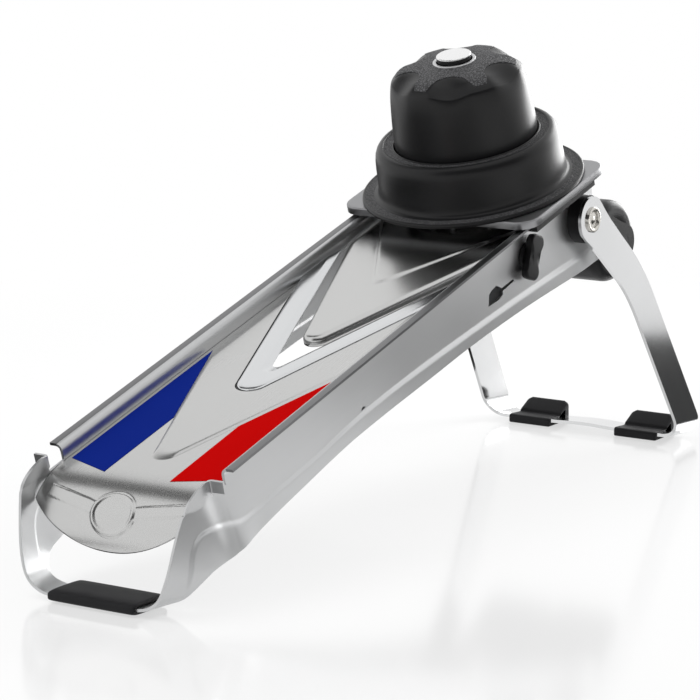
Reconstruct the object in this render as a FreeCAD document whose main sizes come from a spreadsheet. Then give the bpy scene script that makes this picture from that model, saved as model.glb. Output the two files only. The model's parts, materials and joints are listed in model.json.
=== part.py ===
import FreeCAD, Part
import Sketcher
import math
import os

# Mandoline slicer: a sloping steel body on a rubber front foot and a folding rear leg, with a V blade,
# a hinged feed ramp set by a roller, and a round pusher on a carriage that slides on the body's rails.
# Millimetres, +Z up, the high end towards +X, the origin under the middle of the object on the floor.
# Body pieces are drawn along the slope: u runs up the slope, v across it and w square to the rails.

doc = FreeCAD.newDocument("mandoline_slicer")
sheet = doc.addObject("Spreadsheet::Sheet", "Sizes")

SIZES = [
    # the slope and the body's two sides
    ("tilt", 16.3),
    ("rail_height", 70.8),
    ("inner_half", 50.0),
    ("plate_thick", 1.5),
    ("flange_wide", 6.0),
    ("flange_thick", 1.5),
    ("body_end", 376.0),
    ("body_deep_rear", 55.0),
    ("body_deep_middle", 39.5),
    ("middle_place", 140.0),
    ("body_deep_front", 46.2),
    ("front_place", -5.0),
    ("horn_front", 33.0),
    ("horn_back", 16.0),
    ("horn_rise", 4.0),
    ("horn_notch", 9.0),
    ("horn_tab_wide", 6.0),
    ("tab_tall", 6.0),
    # the front foot
    ("strip_front", 43.0),
    ("strip_wide", 24.0),
    ("foot_bend", 22.5),
    ("sleeve_wall", 2.5),
    ("sleeve_half", 27.0),
    ("sleeve_round", 2.2),
    # the deck
    ("deck_drop", 9.0),
    ("deck_thick", 1.2),
    ("lip_start", 10.0),
    ("lip_radius", 32.0),
    ("lip_sweep", 80.0),
    ("lip_fall", 25.1),
    ("lip_side_fall", 6.1),
    ("vee_angle", 21.3),
    ("deck_vee_place", 104.0),
    ("chevron_place", 12.0),
    ("chevron_long", 74.0),
    ("chevron_rise", 1.0),
    ("stripe_thick", 0.2),
    ("stripe_tip_place", 121.0),
    ("stripe_knee_place", 52.0),
    ("stripe_front_place", 8.0),
    ("stripe_in", 20.0),
    ("stripe_margin", 2.5),
    ("blade_place", 93.0),
    ("blade_wide", 23.5),
    ("blade_thick", 1.8),
    ("blade_bevel", 1.3),
    ("edge_play", 0.3),
    ("rod_place", 120.0),
    ("rod_drop", 29.4),
    ("rod_radius", 2.5),
    ("seat_play", 0.05),
    # the window and slit in the right side
    ("window_place", 252.0),
    ("window_drop", 30.0),
    ("window_long", 15.0),
    ("window_tall", 8.0),
    ("slit_long", 14.0),
    ("slit_tall", 1.5),
    ("socket_deep", 5.0),
    ("socket_margin", 3.0),
    # the leg and its axle
    ("pivot_place", 357.5),
    ("pivot_drop", 22.4),
    ("axle_radius", 5.0),
    ("spacer_radius", 14.0),
    ("spacer_long", 6.95),
    ("leg_play", 0.3),
    ("strap_wide", 24.0),
    ("strap_thick", 2.0),
    ("head_radius", 13.5),
    ("upper_long", 64.0),
    ("upper_angle", 50.0),
    ("lower_angle", 31.0),
    ("leg_splay", 6.4),
    ("strip_tip", 4.0),
    ("heel_tall", 12.0),
    ("leg_bend", 14.0),
    ("screw_head_radius", 7.4),
    ("screw_head_tall", 2.6),
    ("screw_thread_radius", 2.5),
    ("screw_thread_long", 14.0),
    ("screw_slot_wide", 1.6),
    ("screw_slot_deep", 1.0),
    ("pad_floor", 2.6),
    ("pad_wrap", 2.6),
    ("pad_skin", 0.8),
    ("pad_ledge", 12.5),
    ("pad_step", 2.0),
    ("pad_lip", 12.2),
    ("pad_crest", 2.0),
    ("pad_long", 29.0),
    ("pad_place", 37.5),
    # the ramp
    ("ramp_rise", 1.0),
    ("ramp_up", 16.5),
    ("ramp_thick", 1.3),
    ("ramp_long", 209.5),
    ("ramp_tail", 6.0),
    ("ramp_half", 47.5),
    ("ramp_angle", 20.0),
    ("rim_deep", 4.5),
    ("rim_thick", 1.5),
    ("triangle_place", 129.5),
    ("triangle_angle", 31.0),
    ("triangle_end", 30.0),
    ("triangle_rise", 0.8),
    ("lug_place", 32.0),
    ("lug_wide", 6.0),
    ("lug_radius", 8.0),
    # the roller
    ("roller_place", 408.0),
    ("roller_drop", 60.0),
    ("roller_radius", 24.5),
    ("roller_half", 43.0),
    ("roller_dome", 26.0),
    ("roller_end", 10.0),
    ("arm_radius", 11.0),
    ("arm_web", 7.7),
    ("arm_thick", 6.5),
    ("shaft_radius", 4.0),
    ("cam_radius", 14.0),
    ("cam_throw", 0.9),
    ("cam_half", 7.0),
    ("follower_half", 5.0),
    ("follower_thick", 4.5),
    # the lever
    ("lever_place", 296.0),
    ("lever_drop", 19.0),
    ("lever_long", 26.0),
    ("lever_wide", 15.0),
    ("lever_waist", 11.0),
    ("lever_lean", 34.0),
    ("lever_thick", 4.4),
    ("collar_radius", 8.0),
    ("collar_thick", 2.0),
    ("lever_shaft_radius", 3.0),
    ("ring_radius", 5.0),
    ("ring_thick", 1.2),
    # the carriage
    ("carriage_place", 332.0),
    ("carriage_half_long", 48.5),
    ("skirt_gap", 2.3),
    ("carriage_top", 6.0),
    ("carriage_thick", 1.5),
    ("skirt_deep", 4.5),
    ("carriage_corner", 9.0),
    ("runner_half_long", 34.0),
    ("runner_inset", 2.5),
    ("runner_wall", 2.4),
    # the pusher
    ("guard_flange_wide", 10.6),
    ("guard_flange_thick", 2.6),
    ("guard_step", 12.6),
    ("guard_wall", 2.6),
    ("guard_tall", 28.5),
    ("guard_shoulder", 6.0),
    ("cap_radius", 41.4),
    ("cap_play", 0.4),
    ("cap_gap", 1.0),
    ("cap_wall", 2.5),
    ("cap_bottom", -3.0),
    ("cap_straight", 69.0),
    ("cap_top", 79.5),
    ("cap_shoulder", 4.6),
    ("ring_out", 12.5),
    ("ring_tall", 0.6),
    ("star_out", 36.0),
    ("star_in", 24.0),
    ("star_tall", 0.6),
    ("post_radius", 8.0),
    ("post_top", 83.1),
    ("button_radius", 10.0),
    ("button_tall", 3.1),
    ("post_long", 7.5),
    ("plate_low", 8.0),
    ("prong_plate_thick", 2.5),
    ("boss_radius", 7.5),
    ("boss_top", 56.0),
    ("prong_radius", 1.3),
    ("prong_ring", 28.0),
    ("prong_tip", -3.5),
    ("prong_point", 4.0),
    ("prong_count", 8),
    ("ejector_radius", 33.0),
    ("ejector_thick", 2.0),
    ("stem_radius", 3.0),
    ("wire_radius", 0.6),
    ("coil_radius", 5.6),
    ("coil_turns", 6),
]
for row, (alias, number) in enumerate(SIZES, start=1):
    sheet.set(f"A{row}", alias.replace("_", " "))
    sheet.set(f"B{row}", str(number))
    sheet.setAlias(f"B{row}", alias)
doc.recompute()


class Size:
    """A cell of the sheet, or a sum of cells, with its number and the expression that follows the sheet."""

    def __init__(self, number, text):
        self.number = float(number)
        self.text = text

    def __add__(self, other):
        other = as_size(other)
        return Size(self.number + other.number, f"({self.text} + {other.text})")

    def __radd__(self, other):
        return as_size(other) + self

    def __sub__(self, other):
        other = as_size(other)
        return Size(self.number - other.number, f"({self.text} - {other.text})")

    def __rsub__(self, other):
        return as_size(other) - self

    def __mul__(self, other):
        other = as_size(other)
        return Size(self.number * other.number, f"({self.text} * {other.text})")

    def __rmul__(self, other):
        return as_size(other) * self

    def __truediv__(self, other):
        other = as_size(other)
        return Size(self.number / other.number, f"({self.text} / {other.text})")

    def __neg__(self):
        return Size(-self.number, f"(0 - {self.text})")


def as_size(thing):
    return thing if isinstance(thing, Size) else Size(thing, repr(float(thing)))


def cell(alias):
    return Size(getattr(sheet, alias), f"Sizes.{alias}")


def sin(angle):
    return Size(math.sin(math.radians(angle.number)), f"sin({angle.text})")


def cos(angle):
    return Size(math.cos(math.radians(angle.number)), f"cos({angle.text})")


def tan(angle):
    return Size(math.tan(math.radians(angle.number)), f"tan({angle.text})")


PLANES = {"XY": "XY_Plane", "XZ": "XZ_Plane", "YZ": "YZ_Plane"}
made = []


def new_body(label, place=(0, 0, 0), lean=None):
    """A sub-part with its own frame: its place, and its lean about the cross axis."""
    body = doc.addObject("PartDesign::Body", label)
    body.Label = label
    body.Placement.Rotation = FreeCAD.Rotation(FreeCAD.Vector(0, 1, 0), 1)
    for axis, value in zip("xyz", place):
        body.setExpression(f"Placement.Base.{axis}", as_size(value).text)
    body.setExpression("Placement.Rotation.Angle", (-as_size(lean if lean else 0)).text)
    made.append(body)
    return body


def new_sketch(body, name, plane, offset):
    sketch = body.newObject("Sketcher::SketchObject", f"{body.Name}_{name}_outline")
    role = PLANES[plane]
    support = [piece for piece in body.Origin.OriginFeatures if piece.Role == role][0]
    sketch.AttachmentSupport = [(support, "")]
    sketch.MapMode = "FlatFace"
    sketch.setExpression("AttachmentOffset.Base.z", as_size(offset).text)
    return sketch


def hold_point(sketch, geometry, end, x, y):
    for kind, value in (("DistanceX", as_size(x)), ("DistanceY", as_size(y))):
        index = sketch.addConstraint(Sketcher.Constraint(kind, -1, 1, geometry, end, value.number))
        sketch.setExpression(f"Constraints[{index}]", value.text)


def draw_outline(sketch, corners):
    """A closed outline. A corner is (x, y), or (x, y, radius) where an arc arrives at it, whose centre is
    on the left of the way for a radius above 0 and on the right below 0."""
    first = sketch.GeometryCount
    count = len(corners)
    starts = []
    ends = []
    for index in range(count):
        here = [as_size(value) for value in corners[index]]
        there = [as_size(value) for value in corners[(index + 1) % count]]
        start = FreeCAD.Vector(here[0].number, here[1].number, 0)
        end = FreeCAD.Vector(there[0].number, there[1].number, 0)
        if len(there) < 3:
            sketch.addGeometry(Part.LineSegment(start, end))
            starts.append(1)
            ends.append(2)
            continue
        bend = there[2]
        way = end - start
        left = FreeCAD.Vector(-way.y, way.x, 0).normalize()
        turn = math.copysign(1.0, bend.number)
        rise = math.sqrt(max(bend.number ** 2 - (way.Length / 2) ** 2, 0.0))
        centre = (start + end) / 2 + left * (turn * rise)
        begin, finish = (start, end) if turn > 0 else (end, start)
        angles = [math.atan2(point.y - centre.y, point.x - centre.x) for point in (begin, finish)]
        circle = Part.Circle(centre, FreeCAD.Vector(0, 0, 1), abs(bend.number))
        arc = sketch.addGeometry(Part.ArcOfCircle(circle, angles[0], angles[1]))
        radius = bend if turn > 0 else -bend
        held = sketch.addConstraint(Sketcher.Constraint("Radius", arc, radius.number))
        sketch.setExpression(f"Constraints[{held}]", radius.text)
        starts.append(1 if turn > 0 else 2)
        ends.append(2 if turn > 0 else 1)
    for index in range(count):
        after = (index + 1) % count
        sketch.addConstraint(
            Sketcher.Constraint("Coincident", first + index, ends[index], first + after, starts[after]))
    for index, corner in enumerate(corners):
        hold_point(sketch, first + index, starts[index], corner[0], corner[1])


def draw_circle(sketch, x, y, radius):
    x, y, radius = as_size(x), as_size(y), as_size(radius)
    centre = FreeCAD.Vector(x.number, y.number, 0)
    index = sketch.addGeometry(Part.Circle(centre, FreeCAD.Vector(0, 0, 1), radius.number))
    held = sketch.addConstraint(Sketcher.Constraint("Radius", index, radius.number))
    sketch.setExpression(f"Constraints[{held}]", radius.text)
    hold_point(sketch, index, 3, x, y)


def block(body, kind, name, plane, low, high, outlines=(), circles=()):
    """A pad or pocket of the outlines, from low to high along the plane's own axis."""
    low, high = as_size(low), as_size(high)
    sketch = new_sketch(body, name, plane, -high if plane == "XZ" else low)
    for outline in outlines:
        draw_outline(sketch, outline)
    for circle in circles:
        draw_circle(sketch, *circle)
    feature = body.newObject(f"PartDesign::{kind}", f"{body.Name}_{name}")
    feature.Profile = sketch
    feature.setExpression("Length", (high - low).text)
    feature.Reversed = kind == "Pocket"
    sketch.Visibility = False
    return feature


def pad(body, name, plane, low, high, outlines=(), circles=()):
    return block(body, "Pad", name, plane, low, high, outlines, circles)


def pocket(body, name, plane, low, high, outlines=(), circles=()):
    doc.recompute()
    before = body.Shape.Volume
    feature = block(body, "Pocket", name, plane, low, high, outlines, circles)
    doc.recompute()
    if body.Shape.Volume > before - 1e-6:
        raise RuntimeError(f"{feature.Name} cuts nothing")
    return feature


def turned(body, name, outline, plane="XZ"):
    """A full turn of an outline about its own upright axis."""
    sketch = new_sketch(body, name, plane, 0)
    draw_outline(sketch, outline)
    feature = body.newObject("PartDesign::Revolution", f"{body.Name}_{name}")
    feature.Profile = sketch
    feature.ReferenceAxis = (sketch, ["V_Axis"])
    feature.Angle = 360
    sketch.Visibility = False
    return feature


def dress(body, kind, name, size, pick):
    """A fillet or chamfer on the edges of the piece so far that pick accepts."""
    doc.recompute()
    base = body.Tip
    chosen = [f"Edge{number}" for number, edge in enumerate(base.Shape.Edges, start=1) if pick(edge)]
    if not chosen:
        raise RuntimeError(f"{body.Label} {name} finds no edge")
    feature = body.newObject(f"PartDesign::{kind}", f"{body.Name}_{name}")
    feature.Base = (base, chosen)
    feature.setExpression("Radius" if kind == "Fillet" else "Size", as_size(size).text)
    return feature


def runs_along(edge, axis):
    """True where an edge is straight along X (0), Y (1) or Z (2)."""
    if edge.Curve.TypeId != "Part::GeomLine":
        return False
    way = edge.Vertexes[-1].Point - edge.Vertexes[0].Point
    return abs(abs(way[axis]) - way.Length) < 1e-6


def box(x_low, x_high, y_low, y_high):
    return [(x_low, y_low), (x_high, y_low), (x_high, y_high), (x_low, y_high)]


# The slope: where a point of the body lies when the slicer stands on the floor.
tilt = cell("tilt")
rail_height = cell("rail_height")


def along(u, w):
    return as_size(u) * cos(tilt) - as_size(w) * sin(tilt)


def above(u, w):
    return rail_height + as_size(u) * sin(tilt) + as_size(w) * cos(tilt)


# Leg: the pivot, the knee and the front edge of the cross strip, worked down to the floor. The cross strip
# tips up a little to the front, so the leg's own frame leans by that much.
pivot_u = cell("pivot_place")
pivot_w = -cell("pivot_drop")
strap_wide = cell("strap_wide")
strap_thick = cell("strap_thick")
half_wide = strap_wide / 2
strip_tip = cell("strip_tip")
low_lean = cell("lower_angle") + strip_tip
up_lean = cell("upper_angle") + strip_tip
upper_long = cell("upper_long")
knee_x = along(pivot_u, pivot_w) + upper_long * sin(cell("upper_angle"))
knee_z = above(pivot_u, pivot_w) - upper_long * cos(cell("upper_angle"))
pad_floor = cell("pad_floor")
level_half = half_wide / cos(low_lean)
leg_fall = ((knee_z - pad_floor + level_half * sin(strip_tip))
            / (cos(strip_tip) + tan(low_lean) * sin(strip_tip)))
strip_front_x = leg_fall * tan(low_lean) - level_half
strip_edge_x = knee_x + strip_front_x * cos(strip_tip) - leg_fall * sin(strip_tip)
heel_tall = cell("heel_tall")
cross_wide = 2 * level_half - heel_tall * tan(low_lean)
pad_back = cross_wide * cos(strip_tip) + cell("pad_wrap")
rear_reach = strip_edge_x + pad_back
front_reach = cell("strip_front") + cell("sleeve_wall")
shift = (front_reach - rear_reach) / 2


def on_floor(x, z):
    return (shift + x, 0, z)


def on_deck(u, w, v=0):
    return (shift + along(u, w), v, above(u, w))


def on_slope(*points):
    return [(along(u, w), above(u, w)) for u, w in points]


def bow(half_chord, rise):
    """The radius of an arc from half its chord and its rise."""
    return (half_chord * half_chord + rise * rise) / (2 * rise)


# Side plates: a flat wall, the rail flange on its top edge, a stop tab on the horn at the low end, and a
# foot strip that bends inwards until the two plates meet in the middle of the rubber sleeve.
inner = cell("inner_half")
plate_thick = cell("plate_thick")
outer = inner + plate_thick
rail_out = outer + cell("flange_wide")
flange_thick = cell("flange_thick")
seat_play = cell("seat_play")
strip_front = cell("strip_front")
strip_back = strip_front - cell("strip_wide")
strip_low = cell("sleeve_wall")
strip_top = strip_low + plate_thick
foot_bend = cell("foot_bend")
bend_top = strip_top + foot_bend
body_end = cell("body_end")
horn_back = -cell("horn_back")
rod_u = cell("rod_place")
rod_w = -cell("rod_drop")
rod_radius = cell("rod_radius")
axle_radius = cell("axle_radius")
lever_u = cell("lever_place")
lever_w = -cell("lever_drop")
lever_shaft_radius = cell("lever_shaft_radius")
window_u = cell("window_place")
window_w = -cell("window_drop")
window_long = cell("window_long")
window_tall = cell("window_tall")
slit_end = window_u + window_long + cell("slit_long")
slit_w = window_w + window_tall / 2


def make_side_plate(label, side):
    body = new_body(label, on_floor(0, 0))

    def reach(low, high):
        return (low, high) if side > 0 else (-high, -low)

    notch = -cell("horn_notch")
    tab_top = cell("horn_rise")
    tab_low = tab_top - cell("tab_tall")
    wall = on_slope((horn_back, tab_top), (horn_back, notch), (0, notch), (0, 0), (body_end, 0),
                    (body_end, -cell("body_deep_rear")), (cell("middle_place"), -cell("body_deep_middle")),
                    (cell("front_place"), -cell("body_deep_front")))
    foot_top = [(-strip_back, bend_top), (-strip_front, bend_top)]
    horn = on_slope((-cell("horn_front"), tab_low))
    pad(body, "wall", "XZ", *reach(inner, outer), [wall + foot_top + horn])
    rail = on_slope((0, 0), (0, -flange_thick), (body_end, -flange_thick), (body_end, 0))
    pad(body, "rail", "XZ", *reach(outer, rail_out), [rail])
    tab_front = horn_back - plate_thick
    tab = on_slope((horn_back, tab_top), (tab_front, tab_top), (tab_front, tab_low), (horn_back, tab_low))
    pad(body, "stop_tab", "XZ", *reach(outer, outer + cell("horn_tab_wide")), [tab])
    bend_in = (inner - foot_bend) * side
    foot = [(outer * side, bend_top, (foot_bend + plate_thick) * side), (inner * side, bend_top),
            (bend_in, strip_top, -foot_bend * side), (0, strip_top), (0, strip_low), (bend_in, strip_low)]
    pad(body, "foot", "YZ", -strip_front, -strip_back, [foot])
    holes = [(rod_u, rod_w, rod_radius + seat_play), (pivot_u, pivot_w, axle_radius + seat_play)]
    if side < 0:
        holes.append((lever_u, lever_w, lever_shaft_radius + seat_play))
    round_holes = [(along(u, w), above(u, w), radius) for u, w, radius in holes]
    pocket(body, "holes", "XZ", *reach(inner, outer), circles=round_holes)
    if side < 0:
        slit_half = cell("slit_tall") / 2
        window_end = window_u + window_long
        window = on_slope((window_u, window_w), (window_end, window_w), (window_end, slit_w - slit_half),
                          (slit_end, slit_w - slit_half), (slit_end, slit_w + slit_half),
                          (window_end, slit_w + slit_half), (window_end, window_w + window_tall),
                          (window_u + window_tall / 2, window_w + window_tall))
        pocket(body, "window", "XZ", *reach(inner, outer), [window])


make_side_plate("left_side_plate", 1)
make_side_plate("right_side_plate", -1)

# Front foot sleeve: a rubber tube pulled over the foot strip.
sleeve = new_body("front_foot_sleeve", on_floor(0, 0))
sleeve_wall = cell("sleeve_wall")
sleeve_half = cell("sleeve_half")
pad(sleeve, "tube", "XZ", -sleeve_half, sleeve_half,
    [box(-strip_front - sleeve_wall, -strip_back + sleeve_wall, 0, strip_top + sleeve_wall)])
dress(sleeve, "Fillet", "round", cell("sleeve_round"), lambda edge: runs_along(edge, 1))
strip_section = box(-strip_front, -strip_back, strip_low, strip_top)
pocket(sleeve, "bore", "XZ", -sleeve_half, sleeve_half, [strip_section])

# Receiving plate: the deck at the low end, with a V cut for the blade, a raised chevron and a lip that
# rolls down to an oval end.
deck_top = -cell("deck_drop")
deck_low = deck_top - cell("deck_thick")
vee = tan(cell("vee_angle"))
lip_u = -cell("lip_start")
lip_radius = cell("lip_radius")
lip_axis = deck_top - lip_radius
deck_vee = cell("deck_vee_place")
deck_end = deck_vee + inner / vee


def vee_corners(tip, half):
    return [(tip + half / vee, -half), (tip, 0), (tip + half / vee, half)]


deck = new_body("receiving_plate", on_deck(0, 0), tilt)
pad(deck, "flat", "XY", deck_low, deck_top, [box(lip_u, deck_end, -inner, inner)])
lip_sketch = new_sketch(deck, "lip", "YZ", lip_u)
draw_outline(lip_sketch, box(-inner, inner, deck_low, deck_top))
axis_line = lip_sketch.addGeometry(
    Part.LineSegment(FreeCAD.Vector(-inner.number, lip_axis.number, 0),
                     FreeCAD.Vector(inner.number, lip_axis.number, 0)), True)
hold_point(lip_sketch, axis_line, 1, -inner, lip_axis)
hold_point(lip_sketch, axis_line, 2, inner, lip_axis)
lip = deck.newObject("PartDesign::Revolution", "receiving_plate_lip")
lip.Profile = lip_sketch
lip.ReferenceAxis = (lip_sketch, ["Axis0"])
lip.Reversed = True
lip.setExpression("Angle", cell("lip_sweep").text)
lip_end = deck_top - cell("lip_fall")
lip_side = deck_top - cell("lip_side_fall")
lip_round = bow(inner, lip_side - lip_end)
pocket(deck, "lip_end", "YZ", lip_u - 2 * lip_radius, lip_u, [[
    (-inner, lip_side), (0, lip_end, lip_round), (inner, lip_side, lip_round),
    (inner, lip_axis - lip_radius), (-inner, lip_axis - lip_radius)]])
pocket(deck, "blade_vee", "XY", deck_low, deck_top, [vee_corners(deck_vee, inner)])
chevron_tip = cell("chevron_place")
chevron_half = (cell("stripe_tip_place") - chevron_tip) * vee
chevron_back = chevron_tip + cell("chevron_long")
pad(deck, "chevron", "XY", deck_top, deck_top + cell("chevron_rise"),
    [vee_corners(chevron_tip, chevron_half) + vee_corners(chevron_back, chevron_half)[::-1]])

# Colour stripes: thin films on the deck between the chevron and the side plates.
stripe_edge = inner - cell("stripe_margin")


def make_stripe(label, side):
    body = new_body(label, on_deck(0, 0), tilt)
    stripe_in = cell("stripe_in")
    knee = cell("stripe_knee_place")
    tip = cell("stripe_tip_place")
    front = cell("stripe_front_place")
    pad(body, "film", "XY", deck_top, deck_top + cell("stripe_thick"),
        [[(tip, stripe_edge * side), (knee, stripe_in * side), (-front, stripe_in * side),
          (0, stripe_edge * side)]])


make_stripe("blue_stripe", 1)
make_stripe("red_stripe", -1)

# V blade: a flat V on the deck's edge, sharpened on the inside from below.
blade = new_body("v_blade", on_deck(0, 0), tilt)
blade_tip = cell("blade_place")
blade_half = inner - cell("edge_play")
edge_tip = blade_tip + cell("blade_wide")
pad(blade, "band", "XY", deck_top, deck_top + cell("blade_thick"),
    [vee_corners(blade_tip, blade_half) + vee_corners(edge_tip, blade_half)[::-1]])


def is_cutting_edge(edge):
    middle = edge.CenterOfMass
    low = abs(middle.z - deck_top.number) < 1e-6
    inside = middle.x > edge_tip.number + abs(middle.y) / vee.number - 1e-6
    return low and inside and not runs_along(edge, 0)


dress(blade, "Chamfer", "bevel", cell("blade_bevel"), is_cutting_edge)

# Tie rod: holds the side plates apart under the deck.
tie_rod = new_body("tie_rod", on_deck(rod_u, rod_w), tilt)
pad(tie_rod, "rod", "XZ", -outer, outer, circles=[(0, 0, rod_radius)])

# Cassette socket: a black block behind the window and slit of the right side plate.
socket = new_body("cassette_socket", on_deck(0, 0), tilt)
socket_margin = cell("socket_margin")
pad(socket, "block", "XZ", -inner, -inner + cell("socket_deep"),
    [box(window_u - socket_margin, slit_end + socket_margin / 2, window_w - socket_margin / 2,
         window_w + window_tall + socket_margin)])

# Leg axle and spacers: the axle runs through both side plates and the black spacers outside them.
spacer_end = outer + cell("spacer_long")
axle = new_body("leg_axle", on_deck(pivot_u, pivot_w), tilt)
thread_radius = cell("screw_thread_radius")
thread_long = cell("screw_thread_long")
pad(axle, "bar", "XZ", -spacer_end, spacer_end, circles=[(0, 0, axle_radius)])
for end_name, low, high in (("left_thread", spacer_end - thread_long, spacer_end),
                            ("right_thread", -spacer_end, thread_long - spacer_end)):
    pocket(axle, end_name, "XZ", low, high, circles=[(0, 0, thread_radius + seat_play)])
for label, low, high in (("left_leg_spacer", outer, spacer_end), ("right_leg_spacer", -spacer_end, -outer)):
    spacer = new_body(label, on_deck(pivot_u, pivot_w), tilt)
    pad(spacer, "disc", "XZ", low, high,
        circles=[(0, 0, cell("spacer_radius")), (0, 0, axle_radius + seat_play)])

# Rear leg: a flat bar bent to a U. The lower arms splay a little, and above the knee they lean back to
# the round heads on the axle. Its own frame stands at the knee, level with the cross strip.
leg_play = cell("leg_play")
strap_in = spacer_end + leg_play
strap_out = strap_in + strap_thick
leg = new_body("rear_leg", on_floor(knee_x, knee_z), -strip_tip)
splay = tan(cell("leg_splay"))
leg_bend = cell("leg_bend")
half_knee = (up_lean - low_lean) / 2
knee_side = half_wide * cos(low_lean + half_knee) / cos(half_knee)
knee_half = half_wide * sin(low_lean + half_knee) / cos(half_knee)
strip_level = -leg_fall
corner_fall = leg_fall - strap_thick
arm_corner = strap_in + (corner_fall - knee_half) * splay
outer_corner = strap_out + (leg_fall - knee_half) * splay
heel = strip_front_x + cross_wide
clear = 2 * strap_wide
pad(leg, "lower_arms", "YZ", -strap_wide, heel + strap_wide, [[
    (strap_out, knee_half), (strap_in, knee_half), (strap_in, -knee_half), (arm_corner, -corner_fall),
    (-arm_corner, -corner_fall), (-strap_in, -knee_half), (-strap_in, knee_half), (-strap_out, knee_half),
    (-strap_out, -knee_half), (-outer_corner, strip_level), (outer_corner, strip_level),
    (strap_out, -knee_half)]])
dress(leg, "Fillet", "inner_bend", leg_bend,
      lambda edge: runs_along(edge, 0) and abs(edge.CenterOfMass.z + corner_fall.number) < 1e-6)
dress(leg, "Fillet", "outer_bend", leg_bend + strap_thick,
      lambda edge: runs_along(edge, 0) and abs(edge.CenterOfMass.z - strip_level.number) < 1e-6)
pocket(leg, "front_edge", "XZ", -outer_corner, outer_corner, [[
    (-knee_side, -knee_half), (strip_front_x, strip_level), (-clear, strip_level), (-clear, knee_half),
    (-knee_side - 2 * knee_half * tan(up_lean), knee_half)]])
pocket(leg, "back_edge", "XZ", -outer_corner, outer_corner, [[
    (knee_side, knee_half), (heel, strip_level + heel_tall), (heel, strip_level), (heel + clear, strip_level),
    (heel + clear, knee_half)]])
head_x = -upper_long * sin(up_lean)
head_z = upper_long * cos(up_lean)
side_x = half_wide * cos(up_lean)
side_z = half_wide * sin(up_lean)
upper = [(-knee_side, -knee_half), (knee_side, knee_half), (head_x + side_x, head_z + side_z),
         (head_x - side_x, head_z - side_z)]
pad(leg, "upper_arms", "XZ", -strap_out, strap_out, [upper])
pad(leg, "heads", "XZ", -strap_out, strap_out, circles=[(head_x, head_z, cell("head_radius"))])
pocket(leg, "between", "XZ", -strap_in, strap_in,
       [box(head_x - clear, clear, -knee_half, head_z + clear)])
pocket(leg, "bores", "XZ", -strap_out, strap_out, circles=[(head_x, head_z, axle_radius + seat_play)])

# Pivot screws: a slotted head, a shoulder that the leg turns on, and a thread in the axle's end.
head_low = strap_out + leg_play
head_high = head_low + cell("screw_head_tall")


def make_pivot_screw(side):
    shoulder = Part.makeCylinder(axle_radius.number, head_low.number - spacer_end.number)
    thread = Part.makeCylinder(thread_radius.number, thread_long.number)
    head = Part.makeCylinder(cell("screw_head_radius").number, cell("screw_head_tall").number)
    shoulder.translate(FreeCAD.Vector(0, 0, spacer_end.number))
    thread.translate(FreeCAD.Vector(0, 0, spacer_end.number - thread_long.number))
    head.translate(FreeCAD.Vector(0, 0, head_low.number))
    slot_wide = cell("screw_slot_wide").number
    slot_long = 2 * cell("screw_head_radius").number
    slot_deep = cell("screw_slot_deep").number
    slot = Part.makeBox(slot_long, slot_wide, slot_deep)
    slot.translate(FreeCAD.Vector(-slot_long / 2, -slot_wide / 2, head_high.number - slot_deep))
    screw = thread.fuse([shoulder, head]).removeSplitter().cut(slot)
    screw.rotate(FreeCAD.Vector(0, 0, 0), FreeCAD.Vector(1, 0, 0), -90 * side)
    return screw


screws = doc.addObject("Part::Feature", "pivot_screws")
screws.Label = "pivot_screws"
screws.Shape = Part.makeCompound([make_pivot_screw(1), make_pivot_screw(-1)])
made.append(screws)

# Foot pads: rubber blocks round the cross strip, with a flat on the floor, a low ledge to the front and a
# sloping lip behind.
def strip_point(across, up):
    """A point by the cross strip's section, from its low front corner."""
    return (as_size(across) * cos(strip_tip) + as_size(up) * sin(strip_tip),
            as_size(up) * cos(strip_tip) - as_size(across) * sin(strip_tip))


def make_foot_pad(label, side):
    body = new_body(label, on_floor(strip_edge_x, pad_floor))
    pad_half = cell("pad_long") / 2
    middle = cell("pad_place") * side
    pad_front = -cell("pad_wrap")
    ledge_up = strap_thick + cell("pad_skin")
    ledge_x, ledge_z = strip_point(cell("pad_ledge"), ledge_up)
    front_x, front_z = strip_point(pad_front, ledge_up)
    lip_z = cell("pad_lip") - pad_floor
    section = [(pad_front, -pad_floor), (pad_back, -pad_floor), (pad_back, lip_z),
               (pad_back - cell("pad_crest"), lip_z), (ledge_x, ledge_z + cell("pad_step")),
               (ledge_x, ledge_z), (pad_front, front_z)]
    pad(body, "block", "XZ", middle - pad_half, middle + pad_half, [section])
    strip = [strip_point(0, 0), strip_point(cross_wide, 0), strip_point(cross_wide, strap_thick),
             strip_point(-strap_thick * tan(low_lean), strap_thick)]
    pocket(body, "strip_seat", "XZ", middle - pad_half, middle + pad_half, [strip])


make_foot_pad("left_foot_pad", 1)
make_foot_pad("right_foot_pad", -1)

# Feed ramp: a shallow tray with a V tip, hinged on the leg axle. Its frame stands on the axle.
ramp_lean = tilt + cell("ramp_rise")
ramp_up = cell("ramp_up")
ramp_under = ramp_up - cell("ramp_thick")
ramp_half = cell("ramp_half")
ramp_tail = cell("ramp_tail")
ramp_slope = tan(cell("ramp_angle"))
ramp_tip = -cell("ramp_long")
rim_thick = cell("rim_thick")
rim_low = ramp_up - cell("rim_deep")
ramp = new_body("feed_ramp", on_deck(pivot_u, pivot_w), ramp_lean)


def ramp_outline(tip, half, tail):
    shoulder = tip + half / ramp_slope
    return [(tail, -half), (tail, half), (shoulder, half), (tip, 0), (shoulder, -half)]


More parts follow.
